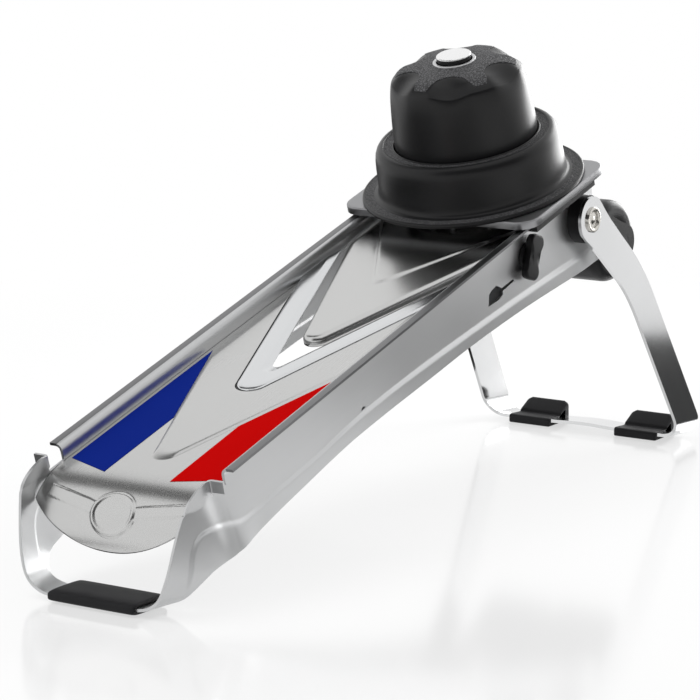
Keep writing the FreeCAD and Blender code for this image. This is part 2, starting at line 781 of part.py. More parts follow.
pad(ramp, "tray", "XY", rim_low, ramp_up, [ramp_outline(ramp_tip, ramp_half, ramp_tail)])
inset_tip = ramp_tip + rim_thick / sin(cell("ramp_angle"))
pocket(ramp, "hollow", "XY", rim_low, ramp_under,
       [ramp_outline(inset_tip, ramp_half - rim_thick, ramp_tail)])
triangle_tip = -cell("triangle_place")
triangle_end = -cell("triangle_end")
triangle_half = (triangle_end - triangle_tip) * tan(cell("triangle_angle")) / 2
triangle_knee = (triangle_tip + triangle_end) / 2
pad(ramp, "triangle", "XY", ramp_up, ramp_up + cell("triangle_rise"),
    [[(triangle_tip, 0), (triangle_knee, -triangle_half), (triangle_end, -triangle_half),
      (triangle_end, triangle_half), (triangle_knee, triangle_half)]])

# Hinge lugs: two eyes under the ramp that run on the leg axle.
lug_radius = cell("lug_radius")
lug_place = cell("lug_place")
lug_wide = cell("lug_wide")
axle_bore = (0, 0, axle_radius + seat_play)


def add_lug(body, low, high):
    pad(body, "web", "XZ", low, high, [box(-lug_radius, ramp_tail, 0, ramp_under)])
    pad(body, "eye", "XZ", low, high, circles=[(0, 0, lug_radius)])


for label, low, high in (("left_hinge_lug", lug_place, lug_place + lug_wide),
                         ("right_hinge_lug", -lug_place - lug_wide, -lug_place)):
    lug = new_body(label, on_deck(pivot_u, pivot_w), ramp_lean)
    add_lug(lug, low, high)
    pocket(lug, "bore", "XZ", low, high, circles=[axle_bore])

# Roller: two round-ended halves on a shaft behind the body, with an eccentric cam between them.
roller_u = cell("roller_place")
roller_w = -cell("roller_drop")
roller_radius = cell("roller_radius")
roller_half = cell("roller_half")
roller_dome = cell("roller_dome")
shaft_radius = cell("shaft_radius")
cam_radius = cell("cam_radius")
cam_half = cell("cam_half")
cam_throw = cell("cam_throw")
arm_thick = cell("arm_thick")
roller_end = cell("roller_end")
dome_round = bow(roller_dome, roller_radius - roller_end)
roller_bore = shaft_radius + seat_play
for label, side in (("left_roller", 1), ("right_roller", -1)):
    roller = new_body(label, on_deck(roller_u, roller_w), tilt)
    dome_start = (roller_half - roller_dome) * side
    turned(roller, "half", [
        (roller_bore, cam_half * side), (roller_radius, cam_half * side), (roller_radius, dome_start),
        (roller_end, roller_half * side, dome_round * side), (roller_bore, roller_half * side)], "XY")
shaft = new_body("roller_shaft", on_deck(roller_u, roller_w), tilt)
pad(shaft, "bar", "XZ", -inner + seat_play, inner - seat_play, circles=[(0, 0, shaft_radius)])
cam = new_body("thickness_cam", on_deck(roller_u, roller_w), tilt)
pad(cam, "disc", "XZ", -cam_half, cam_half, circles=[(0, -cam_throw, cam_radius), (0, 0, roller_bore)])

# Roller arms: black arms inside the side plates, from the leg axle out to the roller shaft.
arm_radius = cell("arm_radius")
arm_web = cell("arm_web")
roller_du = roller_u - pivot_u
roller_dw = roller_w - pivot_w
for label, low, high in (("left_roller_arm", inner - arm_thick, inner),
                         ("right_roller_arm", -inner, arm_thick - inner)):
    arm = new_body(label, on_deck(pivot_u, pivot_w), tilt)
    pad(arm, "web", "XZ", low, high, [[
        (-arm_web, -arm_web), (roller_du - arm_web, roller_dw - arm_web),
        (roller_du + arm_web, roller_dw + arm_web), (arm_web, arm_web)]])
    pad(arm, "inner_eye", "XZ", low, high, circles=[(0, 0, arm_radius)])
    pad(arm, "outer_eye", "XZ", low, high, circles=[(roller_du, roller_dw, arm_radius)])
    pocket(arm, "bores", "XZ", low, high,
           circles=[axle_bore, (roller_du, roller_dw, roller_bore)])

# Cam follower: an eye on the leg axle, with a tail that reaches over the cam.
follower = new_body("cam_follower", on_deck(pivot_u, pivot_w), ramp_lean)
follower_half = cell("follower_half")
follower_thick = cell("follower_thick")
add_lug(follower, -follower_half, follower_half)
ramp_rise = cell("ramp_rise")
cam_x = roller_du * cos(ramp_rise) + roller_dw * sin(ramp_rise)
cam_z = roller_dw * cos(ramp_rise) - roller_du * sin(ramp_rise)
tail_low = cam_z + cam_radius + leg_play
tail_end = cam_x + follower_thick
tail_start = cam_x - follower_thick
pad(follower, "tail", "XZ", -follower_half, follower_half, [[
    (0, -lug_radius), (tail_start, tail_low), (tail_end, tail_low), (tail_end, tail_low + follower_thick),
    (tail_start, tail_low + follower_thick), (0, lug_radius)]])
pocket(follower, "bore", "XZ", -follower_half, follower_half, circles=[axle_bore])

# Lock lever: a waisted lever on a round collar, its shaft through the right side plate, and a ring inside.
lever_lean = tilt - cell("lever_lean")
collar_out = outer + leg_play + cell("collar_thick")
lever_out = collar_out + cell("lever_thick")
lever = new_body("lock_lever", on_deck(lever_u, lever_w), lever_lean)
lever_half = cell("lever_long") / 2
lever_end = cell("lever_wide") / 2
lever_waist = cell("lever_waist") / 2
side_half = lever_half / 2
waist_round = bow(side_half, lever_end - lever_waist)
end_round = bow(lever_end, side_half)
pad(lever, "grip", "XZ", -lever_out, -collar_out, [[
    (lever_end, -side_half, end_round), (lever_end, side_half, -waist_round),
    (-lever_end, side_half, end_round), (-lever_end, -side_half, -waist_round)]])
collar = new_body("lever_collar", on_deck(lever_u, lever_w), tilt)
lever_bore = lever_shaft_radius + seat_play
pad(collar, "disc", "XZ", -collar_out, -outer - leg_play,
    circles=[(0, 0, cell("collar_radius")), (0, 0, lever_bore)])
ring_low = inner - leg_play - cell("ring_thick")
lever_shaft = new_body("lever_shaft", on_deck(lever_u, lever_w), tilt)
pad(lever_shaft, "pin", "XZ", -collar_out, -ring_low, circles=[(0, 0, lever_shaft_radius)])
lever_ring = new_body("lever_ring", on_deck(lever_u, lever_w), tilt)
pad(lever_ring, "ring", "XZ", -inner + leg_play, -ring_low,
    circles=[(0, 0, cell("ring_radius")), (0, 0, lever_bore)])

# Carriage plate: a flat plate with rounded corners, a round opening and turned-down sides.
carriage_u = cell("carriage_place")
carriage_half = cell("carriage_half_long")
carriage_top = cell("carriage_top")
carriage_low = carriage_top - cell("carriage_thick")
edge_play = cell("edge_play")
runner_wall = cell("runner_wall")
wall_in = rail_out + edge_play
wall_out = wall_in + runner_wall
skirt_in = wall_out + cell("skirt_gap")
carriage_wide = skirt_in + cell("carriage_thick")
cap_radius = cell("cap_radius")
carriage_hole = cap_radius + cell("cap_gap")
carriage_corner = cell("carriage_corner")
straight = carriage_half - carriage_corner
carriage = new_body("carriage_plate", on_deck(carriage_u, 0), tilt)
pad(carriage, "plate", "XY", carriage_low, carriage_top,
    [box(-carriage_half, carriage_half, -carriage_wide, carriage_wide)])
dress(carriage, "Fillet", "corners", carriage_corner, lambda edge: runs_along(edge, 2))
for name, low, high in (("left_side", skirt_in, carriage_wide), ("right_side", -carriage_wide, -skirt_in)):
    pad(carriage, name, "XY", carriage_top - cell("skirt_deep"), carriage_low,
        [box(-straight, straight, low, high)])
pocket(carriage, "opening", "XY", carriage_low, carriage_top, circles=[(0, 0, carriage_hole)])

# Runners: plastic channels under the carriage that hold the rail flanges with a little play.
runner_half = cell("runner_half_long")
rail_low = -flange_thick - edge_play
lip_low = rail_low - runner_wall
lip_in = outer + cell("runner_inset") / 2
for label, side in (("left_runner", 1), ("right_runner", -1)):
    runner = new_body(label, on_deck(carriage_u, 0), tilt)
    pad(runner, "channel", "YZ", -runner_half, runner_half, [[
        (lip_in * side, carriage_low), (lip_in * side, edge_play), (wall_in * side, edge_play),
        (wall_in * side, rail_low), (lip_in * side, rail_low), (lip_in * side, lip_low),
        (wall_out * side, lip_low), (wall_out * side, carriage_low)]])

# Pusher guard: the black lower tier, a ring-shaped flange on the carriage and a wall with a rounded
# shoulder that the cap slides in.
guard_radius = cap_radius + cell("guard_step")
guard_flange = guard_radius + cell("guard_flange_wide")
guard_wall = cell("guard_wall")
flange_top = carriage_top + cell("guard_flange_thick")
guard_top = flange_top + cell("guard_tall")
guard_shoulder = cell("guard_shoulder")
wall_top = guard_top - guard_shoulder
throat = cap_radius + cell("cap_play")
guard = new_body("pusher_guard", on_deck(carriage_u, 0), tilt)
turned(guard, "tier", [
    (carriage_hole, carriage_top), (guard_flange, carriage_top), (guard_flange, flange_top),
    (guard_radius, flange_top), (guard_radius, wall_top),
    (guard_radius - guard_shoulder, guard_top, guard_shoulder), (throat, guard_top),
    (throat, guard_top - guard_wall), (guard_radius - guard_shoulder, guard_top - guard_wall),
    (guard_radius - guard_wall, wall_top, -(guard_shoulder - guard_wall)),
    (guard_radius - guard_wall, flange_top), (carriage_hole, flange_top)])

# Pusher cap: the black upper tier, a bell with a long skirt inside the guard and a hole for the post.
cap_wall = cell("cap_wall")
cap_bottom = cell("cap_bottom")
cap_straight = cell("cap_straight")
cap_top = cell("cap_top")
top_radius = cap_radius - cell("cap_shoulder")
post_radius = cell("post_radius")
cap_bore = cap_radius - cap_wall
crown_under = cap_top - cap_wall
post_hole = post_radius + 2 * cell("cap_play")
cap = new_body("pusher_cap", on_deck(carriage_u, 0), tilt)
shoulder_round = bow(cap_top - cap_straight, cap_radius - top_radius)
turned(cap, "bell", [
    (cap_bore, cap_bottom), (cap_radius, cap_bottom), (cap_radius, cap_straight),
    (top_radius, cap_top, shoulder_round), (post_hole, cap_top), (post_hole, crown_under),
    (top_radius - cap_wall, crown_under), (cap_bore, cap_straight)])

# Cap ring: a pale ring let on to the crown round the post.
cap_ring = new_body("cap_ring", on_deck(carriage_u, 0), tilt)
ring_out = cell("ring_out")
pad(cap_ring, "ring", "XY", cap_top, cap_top + cell("ring_tall"),
    circles=[(0, 0, ring_out), (0, 0, post_hole)])

# Star grip: a grained star on the crown, one arm near down the slope, with round bays between its arms.
STAR_ARMS = 6
STAR_TURN = math.radians(175)
ARM_HALF = math.radians(12)
star_grip = new_body("star_grip", on_deck(carriage_u, 0), tilt)
star_out = cell("star_out")
bay_half = math.pi / STAR_ARMS - ARM_HALF
bay_round = bow(star_out * math.sin(bay_half), star_out * math.cos(bay_half) - cell("star_in"))
star = []
for number in range(STAR_ARMS):
    middle = STAR_TURN + 2 * math.pi * number / STAR_ARMS
    for angle, round_in in ((middle - ARM_HALF, -bay_round), (middle + ARM_HALF, star_out)):
        star.append((star_out * math.cos(angle), star_out * math.sin(angle), round_in))
pad(star_grip, "star", "XY", cap_top, cap_top + cell("star_tall"), [star], [(0, 0, ring_out + seat_play)])

# Prong plate and prongs: a disc inside the cap with a tall boss for the stem, and steel points below it.
plate_low = cell("plate_low")
plate_top = plate_low + cell("prong_plate_thick")
stem_radius = cell("stem_radius")
stem_bore = stem_radius + 2 * seat_play
boss_top = cell("boss_top")
prong_plate = new_body("prong_plate", on_deck(carriage_u, 0), tilt)
disc_radius = cap_bore - seat_play
boss_radius = cell("boss_radius")
turned(prong_plate, "disc", [
    (stem_bore, plate_low), (disc_radius, plate_low), (disc_radius, plate_top), (boss_radius, plate_top),
    (boss_radius, boss_top), (stem_bore, boss_top)])
prong_count = round(cell("prong_count").number)
prong_radius = cell("prong_radius")
prong_ring = cell("prong_ring")
prong_places = []
for index in range(prong_count):
    angle = 2 * math.pi * index / prong_count
    prong_places.append((prong_ring * math.cos(angle), prong_ring * math.sin(angle)))


def make_prong(x, y):
    tip = cell("prong_tip").number
    point = cell("prong_point").number
    spike = Part.makeCone(0.0, prong_radius.number, point)
    shank = Part.makeCylinder(prong_radius.number, plate_low.number - tip - point)
    shank.translate(FreeCAD.Vector(0, 0, point))
    prong = spike.fuse(shank)
    prong.translate(FreeCAD.Vector(x.number, y.number, tip))
    return prong


prongs = doc.addObject("Part::Feature", "prongs")
prongs.Label = "prongs"
prongs.Shape = Part.makeCompound([make_prong(x, y) for x, y in prong_places])
made.append(prongs)

# Ejector: a plate that the prongs pass through, on a stem up to the button's post.
ejector_top = plate_low - edge_play
ejector_low = ejector_top - cell("ejector_thick")
ejector = new_body("ejector_plate", on_deck(carriage_u, 0), tilt)
prong_holes = [(x, y, prong_radius + 2 * edge_play) for x, y in prong_places]
pad(ejector, "plate", "XY", ejector_low, ejector_top, circles=[(0, 0, cell("ejector_radius"))] + prong_holes)
post_top = cell("post_top")
post_low = post_top - cell("post_long")
stem = new_body("ejector_stem", on_deck(carriage_u, 0), tilt)
pad(stem, "rod", "XY", ejector_top, post_low, circles=[(0, 0, stem_radius)])
post = new_body("button_post", on_deck(carriage_u, 0), tilt)
pad(post, "post", "XY", post_low, post_top, circles=[(0, 0, post_radius)])
button = new_body("eject_button", on_deck(carriage_u, 0), tilt)
button_top = post_top + cell("button_tall")
pad(button, "disc", "XY", post_top, button_top, circles=[(0, 0, cell("button_radius"))])
dress(button, "Fillet", "rim", cell("ring_tall"),
      lambda edge: abs(edge.CenterOfMass.z - button_top.number) < 1e-6)

# Eject spring: one open coil between the boss and the post, wound from arcs in pairs, two to a quarter turn.
wire_radius = cell("wire_radius").number
coil_radius = cell("coil_radius").number
spring_low = boss_top + cell("wire_radius")
spring_tall = (post_low - edge_play - cell("wire_radius") - spring_low).number
quarters = round(4 * cell("coil_turns").number)
quarter_rise = spring_tall / quarters


def coil_point(quarter):
    angle = math.pi / 2 * quarter
    across = FreeCAD.Vector(math.cos(angle), math.sin(angle), 0) * coil_radius
    return across + FreeCAD.Vector(0, 0, quarter_rise * quarter)


def coil_way(quarter):
    angle = math.pi / 2 * quarter
    turn = coil_radius * math.pi / 2
    return FreeCAD.Vector(-turn * math.sin(angle), turn * math.cos(angle), quarter_rise).normalize()


def arc_from(start, way, end):
    """The arc that leaves start along way and ends at end."""
    chord = end - start
    half_turn = way.getAngle(chord)
    side = (way - chord * (way.dot(chord) / chord.dot(chord))).normalize()
    rise = chord.Length / 2 * math.tan(half_turn / 2)
    return Part.Arc(start, (start + end) / 2 + side * rise, end).toShape()


coil_edges = []
for quarter in range(quarters):
    start, end = coil_point(quarter), coil_point(quarter + 1)
    way, way_on = coil_way(quarter), coil_way(quarter + 1)
    chord = end - start
    spread = chord.dot(way + way_on)
    bend = 2 * (1 - way.dot(way_on))
    reach = (math.sqrt(spread * spread + bend * chord.dot(chord)) - spread) / bend
    joint = (start + way * reach + end - way_on * reach) / 2
    coil_edges.append(arc_from(start, way, joint))
    coil_edges.append(arc_from(end, way_on * -1, joint))
coil_path = Part.Wire(Part.sortEdges(coil_edges)[0])
coil_section = Part.Wire(Part.makeCircle(wire_radius, coil_point(0), coil_way(0)))
spring = doc.addObject("Part::Feature", "eject_spring")
spring.Label = "eject_spring"
spring.Shape = coil_path.makePipeShell([coil_section], True, False)
made.append(spring)
coil_points = coil_path.discretize(Distance=wire_radius)
half_turn = round(math.pi * coil_radius / wire_radius)
coil_gap = min(here.distanceToPoint(there) for number, here in enumerate(coil_points)
               for there in coil_points[number + half_turn:]) - 2 * wire_radius
print("coil gap", round(coil_gap, 2))

# Pieces drawn with Part stand in the same sloping frame.
slope_turn = FreeCAD.Rotation(FreeCAD.Vector(0, 1, 0), -tilt.number)
for piece, place in ((screws, on_deck(pivot_u, pivot_w)), (prongs, on_deck(carriage_u, 0)),
                     (spring, on_deck(carriage_u, spring_low))):
    base = FreeCAD.Vector(*[as_size(value).number for value in place])
    piece.Placement = FreeCAD.Placement(base, slope_turn)

doc.recompute()
for item in doc.Objects:
    if "Invalid" in item.State or "Error" in item.State:
        raise RuntimeError(f"{item.Name} is {item.State}")
for piece in made:
    if piece.Shape.isNull() or not piece.Shape.isValid():
        raise RuntimeError(f"{piece.Label} has no valid shape")

os.makedirs("parts", exist_ok=True)
for piece in made:
    piece.Shape.exportStep(f"parts/{piece.Label}.step")
print(len(made), "pieces")
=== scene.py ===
import json
import math
import bmesh
import bpy
from mathutils import Matrix, Vector


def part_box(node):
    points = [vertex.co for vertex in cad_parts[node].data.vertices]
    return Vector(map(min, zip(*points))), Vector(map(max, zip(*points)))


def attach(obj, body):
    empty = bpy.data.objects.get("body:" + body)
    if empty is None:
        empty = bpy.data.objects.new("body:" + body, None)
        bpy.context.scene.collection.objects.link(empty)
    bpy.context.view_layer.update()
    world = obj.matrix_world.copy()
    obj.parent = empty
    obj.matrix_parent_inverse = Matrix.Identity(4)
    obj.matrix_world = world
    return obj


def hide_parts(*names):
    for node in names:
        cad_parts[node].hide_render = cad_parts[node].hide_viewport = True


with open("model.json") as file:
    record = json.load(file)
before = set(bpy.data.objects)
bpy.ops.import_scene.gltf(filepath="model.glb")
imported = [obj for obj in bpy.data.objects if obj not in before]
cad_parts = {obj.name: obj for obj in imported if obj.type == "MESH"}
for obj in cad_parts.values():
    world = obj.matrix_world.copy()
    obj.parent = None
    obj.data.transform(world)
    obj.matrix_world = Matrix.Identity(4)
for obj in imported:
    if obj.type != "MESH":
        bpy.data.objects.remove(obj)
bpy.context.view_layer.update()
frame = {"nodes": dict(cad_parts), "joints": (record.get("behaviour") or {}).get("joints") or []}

# Side plates. Two sides pressed from satin steel sheet, each with a rail flange along its top, a stop tab on
# the horn at the low end, a stiffening step along its bottom and a front end that bends in to the foot strip.
MM = 0.001
JOIN_DISTANCE = 0.01
joints = {joint["name"]: joint for joint in frame["joints"]}
slope = -Vector(joints["carriage_slide"]["axis"])
lift = Vector(joints["pusher_lift"]["axis"])
across = Vector((0, 1, 0))
pivot = Vector(joints["leg_fold"]["pos_m"])
PIVOT_U = 357.5
PIVOT_W = -22.4
rail_start = pivot - (slope * PIVOT_U + lift * PIVOT_W) * MM
deck_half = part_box("receiving_plate")[1].y / MM
plate_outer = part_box("tie_rod")[1].y / MM
rail_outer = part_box("left_side_plate")[1].y / MM
plate_thick = plate_outer - deck_half
plate_middle = (plate_outer + deck_half) / 2


def spot(u, v, w):
    """A point of the body: u up the slope from the rails' low end, v to the left, w square to the rails."""
    return rail_start + (slope * u + across * v + lift * w) * MM


def on_floor(x, z, y=0.0):
    """A point by its distance behind the rails' low end and its height over the floor."""
    return Vector((rail_start.x + x * MM, y * MM, z * MM))


def level_of(u, w):
    """The floor distance and height of a point of the body."""
    point = spot(u, 0, w)
    return (point.x - rail_start.x) / MM, point.z / MM


def blend(low, high, share):
    """The value that lies a share of the way from low to high."""
    return low + (high - low) * share


def ease(start, end, value):
    """0 before start, 1 after end, and a smooth step between them."""
    share = min(max((value - start) / (end - start), 0.0), 1.0)
    return share * share * (3 - 2 * share)


def through(knots, steps):
    """A smooth line through the knots, each a tuple of numbers, with steps points from knot to knot."""
    padded = [knots[0], *knots, knots[-1]]
    line = []
    for before, here, there, after in zip(padded, padded[1:], padded[2:], padded[3:]):
        for step in range(steps):
            t = step / steps
            line.append(tuple(
                b + 0.5 * t * (c - a + t * (2 * a - 5 * b + 4 * c - d + t * (3 * (b - c) + d - a)))
                for a, b, c, d in zip(before, here, there, after)))
    return line + [knots[-1]]


class Shade:
    """A socket in a finish. Sums and products add Math nodes, and node() adds any other node."""

    def __init__(self, tree, socket=None):
        self.tree = tree
        self.socket = socket

    def node(self, kind, settings, sockets, output=0):
        """Adds a node, gives it its settings, then its values or links, and returns one of its outputs."""
        made = self.tree.nodes.new(f"ShaderNode{kind}")
        for name, setting in settings.items():
            setattr(made, name, setting)
        for name, value in sockets.items():
            if isinstance(value, Shade):
                self.tree.links.new(value.socket, made.inputs[name])
            else:
                made.inputs[name].default_value = value
        return Shade(self.tree, made.outputs[output] if len(made.outputs) else None)

    def sum_of(self, operation, first, second):
        """Adds a Math node on two values."""
        return self.node("Math", {"operation": operation}, {0: first, 1: second})

    def __add__(self, other):
        return self.sum_of("ADD", self, other)

    def __radd__(self, other):
        return self.sum_of("ADD", other, self)

    def __sub__(self, other):
        return self.sum_of("SUBTRACT", self, other)

    def __rsub__(self, other):
        return self.sum_of("SUBTRACT", other, self)

    def __mul__(self, other):
        return self.sum_of("MULTIPLY", self, other)

    def __rmul__(self, other):
        return self.sum_of("MULTIPLY", other, self)

    def step(self, start, end):
        """0 below start, 1 above end, smooth between them."""
        return self.node("MapRange", {"interpolation_type": "SMOOTHSTEP"},
                         {"Value": self, "From Min": start, "From Max": end})

    def tint(self, low, high):
        """A colour from low at 0 to high at 1."""
        return self.node("Mix", {"data_type": "RGBA"}, {0: self, 6: (*low, 1), 7: (*high, 1)}, 2)


def new_finish(name):
    """An empty finish, and the place of each point of the piece in its own frame."""
    finish = bpy.data.materials.new(name)
    finish.use_nodes = True
    finish.node_tree.nodes.clear()
    start = Shade(finish.node_tree)
    return finish, start.node("TexCoord", {}, {}, "Object")


def surface(start, **sockets):
    """Ends a finish in the one shader that carries these sockets."""
    named = {name.replace("_", " "): value for name, value in sockets.items()}
    shader = start.node("BsdfPrincipled", {}, named)
    start.node("OutputMaterial", {}, {"Surface": shader})


def measured(place, axis):
    """The distance of each point along an axis, in metres."""
    return place.node("VectorMath", {"operation": "DOT_PRODUCT"}, {0: place, 1: tuple(axis)}, "Value")


def noise(place, scale, detail=2.0, rough=0.5):
    """Soft clouds; a large scale makes them a fine grain."""
    return place.node("TexNoise", {}, {"Vector": place, "Scale": scale, "Detail": detail, "Roughness": rough})


def stretched(place, along, side, over, long_scale, fine_scale):
    """Noise drawn out along one direction, as a brush leaves it."""
    drawn = place.node("CombineXYZ", {}, {
        "X": measured(place, along) * long_scale, "Y": measured(place, side) * fine_scale,
        "Z": measured(place, over) * fine_scale})
    return noise(drawn, scale=1.0, detail=3.0, rough=0.6)


def bumped(height, strength, distance=0.1 * MM):
    """The surface's normal, tipped by a height that changes over it."""
    return height.node("Bump", {}, {"Strength": strength, "Distance": distance, "Height": height})


def toned(colour, share):
    """A darker or brighter colour of the same hue."""
    return tuple(part * share for part in colour)


def brushed_steel(name, colour, rough, depth, along=slope, side=across, over=lift):
    """Sheet steel with fine brush lines along one way and faint clouds of handling."""
    finish, place = new_finish(name)
    lines = stretched(place, along, side, over, long_scale=14.0, fine_scale=1900.0)
    clouds = noise(place, scale=22.0, detail=3.0)
    tone = lines * 0.7 + clouds * 0.3
    surface(place, Base_Color=tone.tint(toned(colour, 0.92), colour), Metallic=1.0,
            Roughness=lines * 0.08 + clouds * 0.06 + (rough - 0.07), Normal=bumped(lines, depth))
    return finish


def new_object(name, points, faces):
    """An object in the scene, with its doubled points joined and its faces turned outwards."""
    mesh = bpy.data.meshes.new(name)
    mesh.from_pydata(points, [], faces)
    build = bmesh.new()
    build.from_mesh(mesh)
    bmesh.ops.remove_doubles(build, verts=build.verts, dist=JOIN_DISTANCE * MM)
    bmesh.ops.recalc_face_normals(build, faces=build.faces)
    build.to_mesh(mesh)
    build.free()
    made = bpy.data.objects.new(name, mesh)
    bpy.context.scene.collection.objects.link(made)
    return made


def new_piece(name, points, faces, body, slot, finishes, *nodes):
    """A piece of the object, in place, that rides on a body and stands for CAD nodes."""
    piece = new_object(name, points, faces)
    piece.data.shade_smooth()
    for finish in finishes:
        piece.data.materials.append(finish)
    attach(piece, body)
    if nodes:
        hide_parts(*nodes)
    return piece


def woven(rows, ring=False, offset=0):
    """The faces between rows of points, all of one length; ring joins each row's end to its start."""
    count = len(rows[0])
    faces = []
    for row in range(len(rows) - 1):
        for here in range(count if ring else count - 1):
            there = (here + 1) % count
            faces.append((offset + row * count + here, offset + row * count + there,
                          offset + (row + 1) * count + there, offset + (row + 1) * count + here))
    return faces


def flat(rows):
    """All the points of some rows, in one list."""
    return [point for row in rows for point in row]


def thicken(piece, thick, offset=0.0, edge=0.25, segments=2, angle=40):
    """Gives a sheet its thickness and breaks its edges."""
    skin = piece.modifiers.new("thickness", "SOLIDIFY")
    skin.thickness = thick * MM
    skin.offset = offset
    skin.use_quality_normals = True
    soften(piece, edge, segments, angle)


def soften(piece, edge, segments=2, angle=40):
    """Breaks a piece's edges, unless the edge is 0, and smooths its shading."""
    if edge:
        bevel = piece.modifiers.new("edges", "BEVEL")
        bevel.width = edge * MM
        bevel.segments = segments
        bevel.limit_method = "ANGLE"
        bevel.angle_limit = math.radians(angle)
    weighted = piece.modifiers.new("normals", "WEIGHTED_NORMAL")
    weighted.keep_sharp = True


side_steel = brushed_steel("side_satin_steel", (0.60, 0.605, 0.61), rough=0.36, depth=0.012)
# the rail flanges' tops get a darker steel, a painted dark reflection
rail_painted_reflection_steel = brushed_steel("rail_painted_dark_reflection_steel", (0.20, 0.20, 0.205), rough=0.32, depth=0.05)
NOTCH = -9.0
HORN_TOP = -0.8
HORN_BACK = -15.5
RAIL_FRONT = -3.0
RAIL_REACH = 2.0
RAIL_SKIN = 3.0
STEP_OUT = 1.1
STEP_HALF = 1.4
STEP_FADE_HEIGHTS = (9, 22)
STEP_FADE_DISTANCES = (372, 352)
PLATE_COLUMNS = 56
PLATE_STEPS = 6
STEP_STEPS = 5
HORN_ROWS = 5
# the wall's line level with the notch, as u, and the bottom edge under it, as (u, w)
BODY_EDGES = [(376, (376, -55.4)), (340, (340, -51.9)), (306, (306, -48.2)), (273, (273, -45.2)),
              (226, (226, -42.2)), (182, (182, -40.9)), (140, (140, -39.5)), (107, (106, -39.0)),
              (78, (83, -39.8)), (58, (62, -41.0))]
# the horn and the front end: the upper or front edge and the lower or back edge, each as (distance, height,
# half width); the rail ends at the third pair, and the horn starts at the fifth
RAIL_PAIRS = 2
NOTCH_PAIRS = 2
HORN_EDGES = [
    ((*level_of(40, NOTCH), plate_middle), (48.0, 40.6, plate_middle)),
    ((*level_of(20, NOTCH), plate_middle), (28.0, 32.9, plate_middle)),
    ((*level_of(RAIL_FRONT, NOTCH), plate_middle), (14.5, 27.7, 51.9)),
    ((*level_of(-9, NOTCH), plate_middle), (8.6, 25.5, 51.5)),
    ((*level_of(HORN_BACK, NOTCH), plate_middle), (3.6, 23.8, 51.0)),
    ((-20.5, 55.4, 52.1), (-0.8, 22.6, 50.5)),
    ((-27.4, 53.5, 51.7), (-4.6, 21.4, 49.9)),
    ((-34.4, 52.4, 50.7), (-8.0, 20.2, 49.5)),
    ((-37.0, 46.4, 49.5), (-11.0, 19.0, 49.2)),
    ((-38.6, 40.0, 48.5), (-13.8, 17.5, 48.8)),
    ((-40.0, 33.5, 47.5), (-16.2, 15.9, 48.3)),
    ((-41.1, 27.0, 46.5), (-18.2, 14.3, 47.6)),
    ((-42.0, 21.2, 45.2), (-20.0, 12.6, 46.7)),
    ((-42.6, 16.8, 43.9), (-21.4, 11.1, 45.7)),
    ((-42.9, 13.2, 42.6), (-22.4, 9.6, 44.5)),
    ((-43.0, 10.3, 41.0), (-23.2, 8.2, 42.9)),
    ((-43.0, 7.8, 38.8), (-23.7, 6.7, 40.6)),
    ((-43.0, 5.8, 36.0), (-24.0, 5.3, 37.4)),
    ((-43.0, 4.4, 32.8), (-24.0, 4.2, 33.6)),
    ((-43.0, 3.6, 29.2), (-23.8, 3.5, 29.6)),
    ((-43.0, 3.25, 25.0), (-23.4, 3.25, 25.2)),
    ((-43.0, 3.25, 12.0), (-23.0, 3.25, 12.0)),
    ((-43.0, 3.25, 0.2), (-23.0, 3.25, 0.2)),
]
# the outline of the horn over the notch, from its back corner to its front, as (distance, height)
HORN_OUTLINE = [level_of(HORN_BACK, HORN_TOP), (-17.0, 65.6), (-20.5, 64.2), (-25.2, 61.9), (-29.8, 58.8),
                (-33.0, 55.4), (-34.4, 52.4)]
# the rail from its outer edge over the bend and down to the notch's level, as (half width, w)
RAIL_SECTION = [(rail_outer, -0.75), (plate_middle + 6.0, -0.75), (plate_middle + 3.8, -0.75),
                (plate_middle + 2.5, -0.9), (plate_middle + 1.4, -1.35), (plate_middle + 0.6, -2.1),
                (plate_middle + 0.15, -3.2), (plate_middle, -4.4), (plate_middle, -6.6),
                (plate_middle, NOTCH)]
# the stop tab from the horn's back edge outwards, as (distance up the slope, distance out)
TAB_SECTION = [(0.0, 0.0), (0.8, 0.2), (1.3, 0.8), (1.5, 1.8), (1.55, 4.5), (1.6, 8.4)]
# the middle of the stiffening step, as (u, w) along the body and as (distance, height) round the front end
STEP_BODY = [(390, -48.0), (376, -46.4), (340, -43.0), (306, -40.2), (273, -37.6), (226, -34.5), (182, -32.0),
             (140, -30.4), (107, -30.4), (74, -32.2)]
STEP_FRONT = [(46, 50.4), (16, 41.4), (-1, 41.4), (-9, 41.8), (-15.8, 41.6), (-20.8, 40.4), (-24.2, 37.8),
              (-26.0, 34.0), (-26.7, 29.4), (-26.6, 24.0), (-26.2, 12.0)]
step_line = through([level_of(u, w) for u, w in STEP_BODY] + STEP_FRONT, STEP_STEPS)


def past_step(x, z):
    """How far a point of the plate lies below the step's middle line, or inside its turn at the front."""
    nearest = None
    for (x1, z1), (x2, z2) in zip(step_line, step_line[1:]):
        long_x, long_z = x2 - x1, z2 - z1
        share = ((x - x1) * long_x + (z - z1) * long_z) / (long_x ** 2 + long_z ** 2)
        share = min(max(share, 0.0), 1.0)
        off_x, off_z = x - x1 - long_x * share, z - z1 - long_z * share
        off = math.hypot(off_x, off_z)
        if nearest is None or off < abs(nearest):
            nearest = math.copysign(off, long_x * off_z - long_z * off_x)
    return nearest


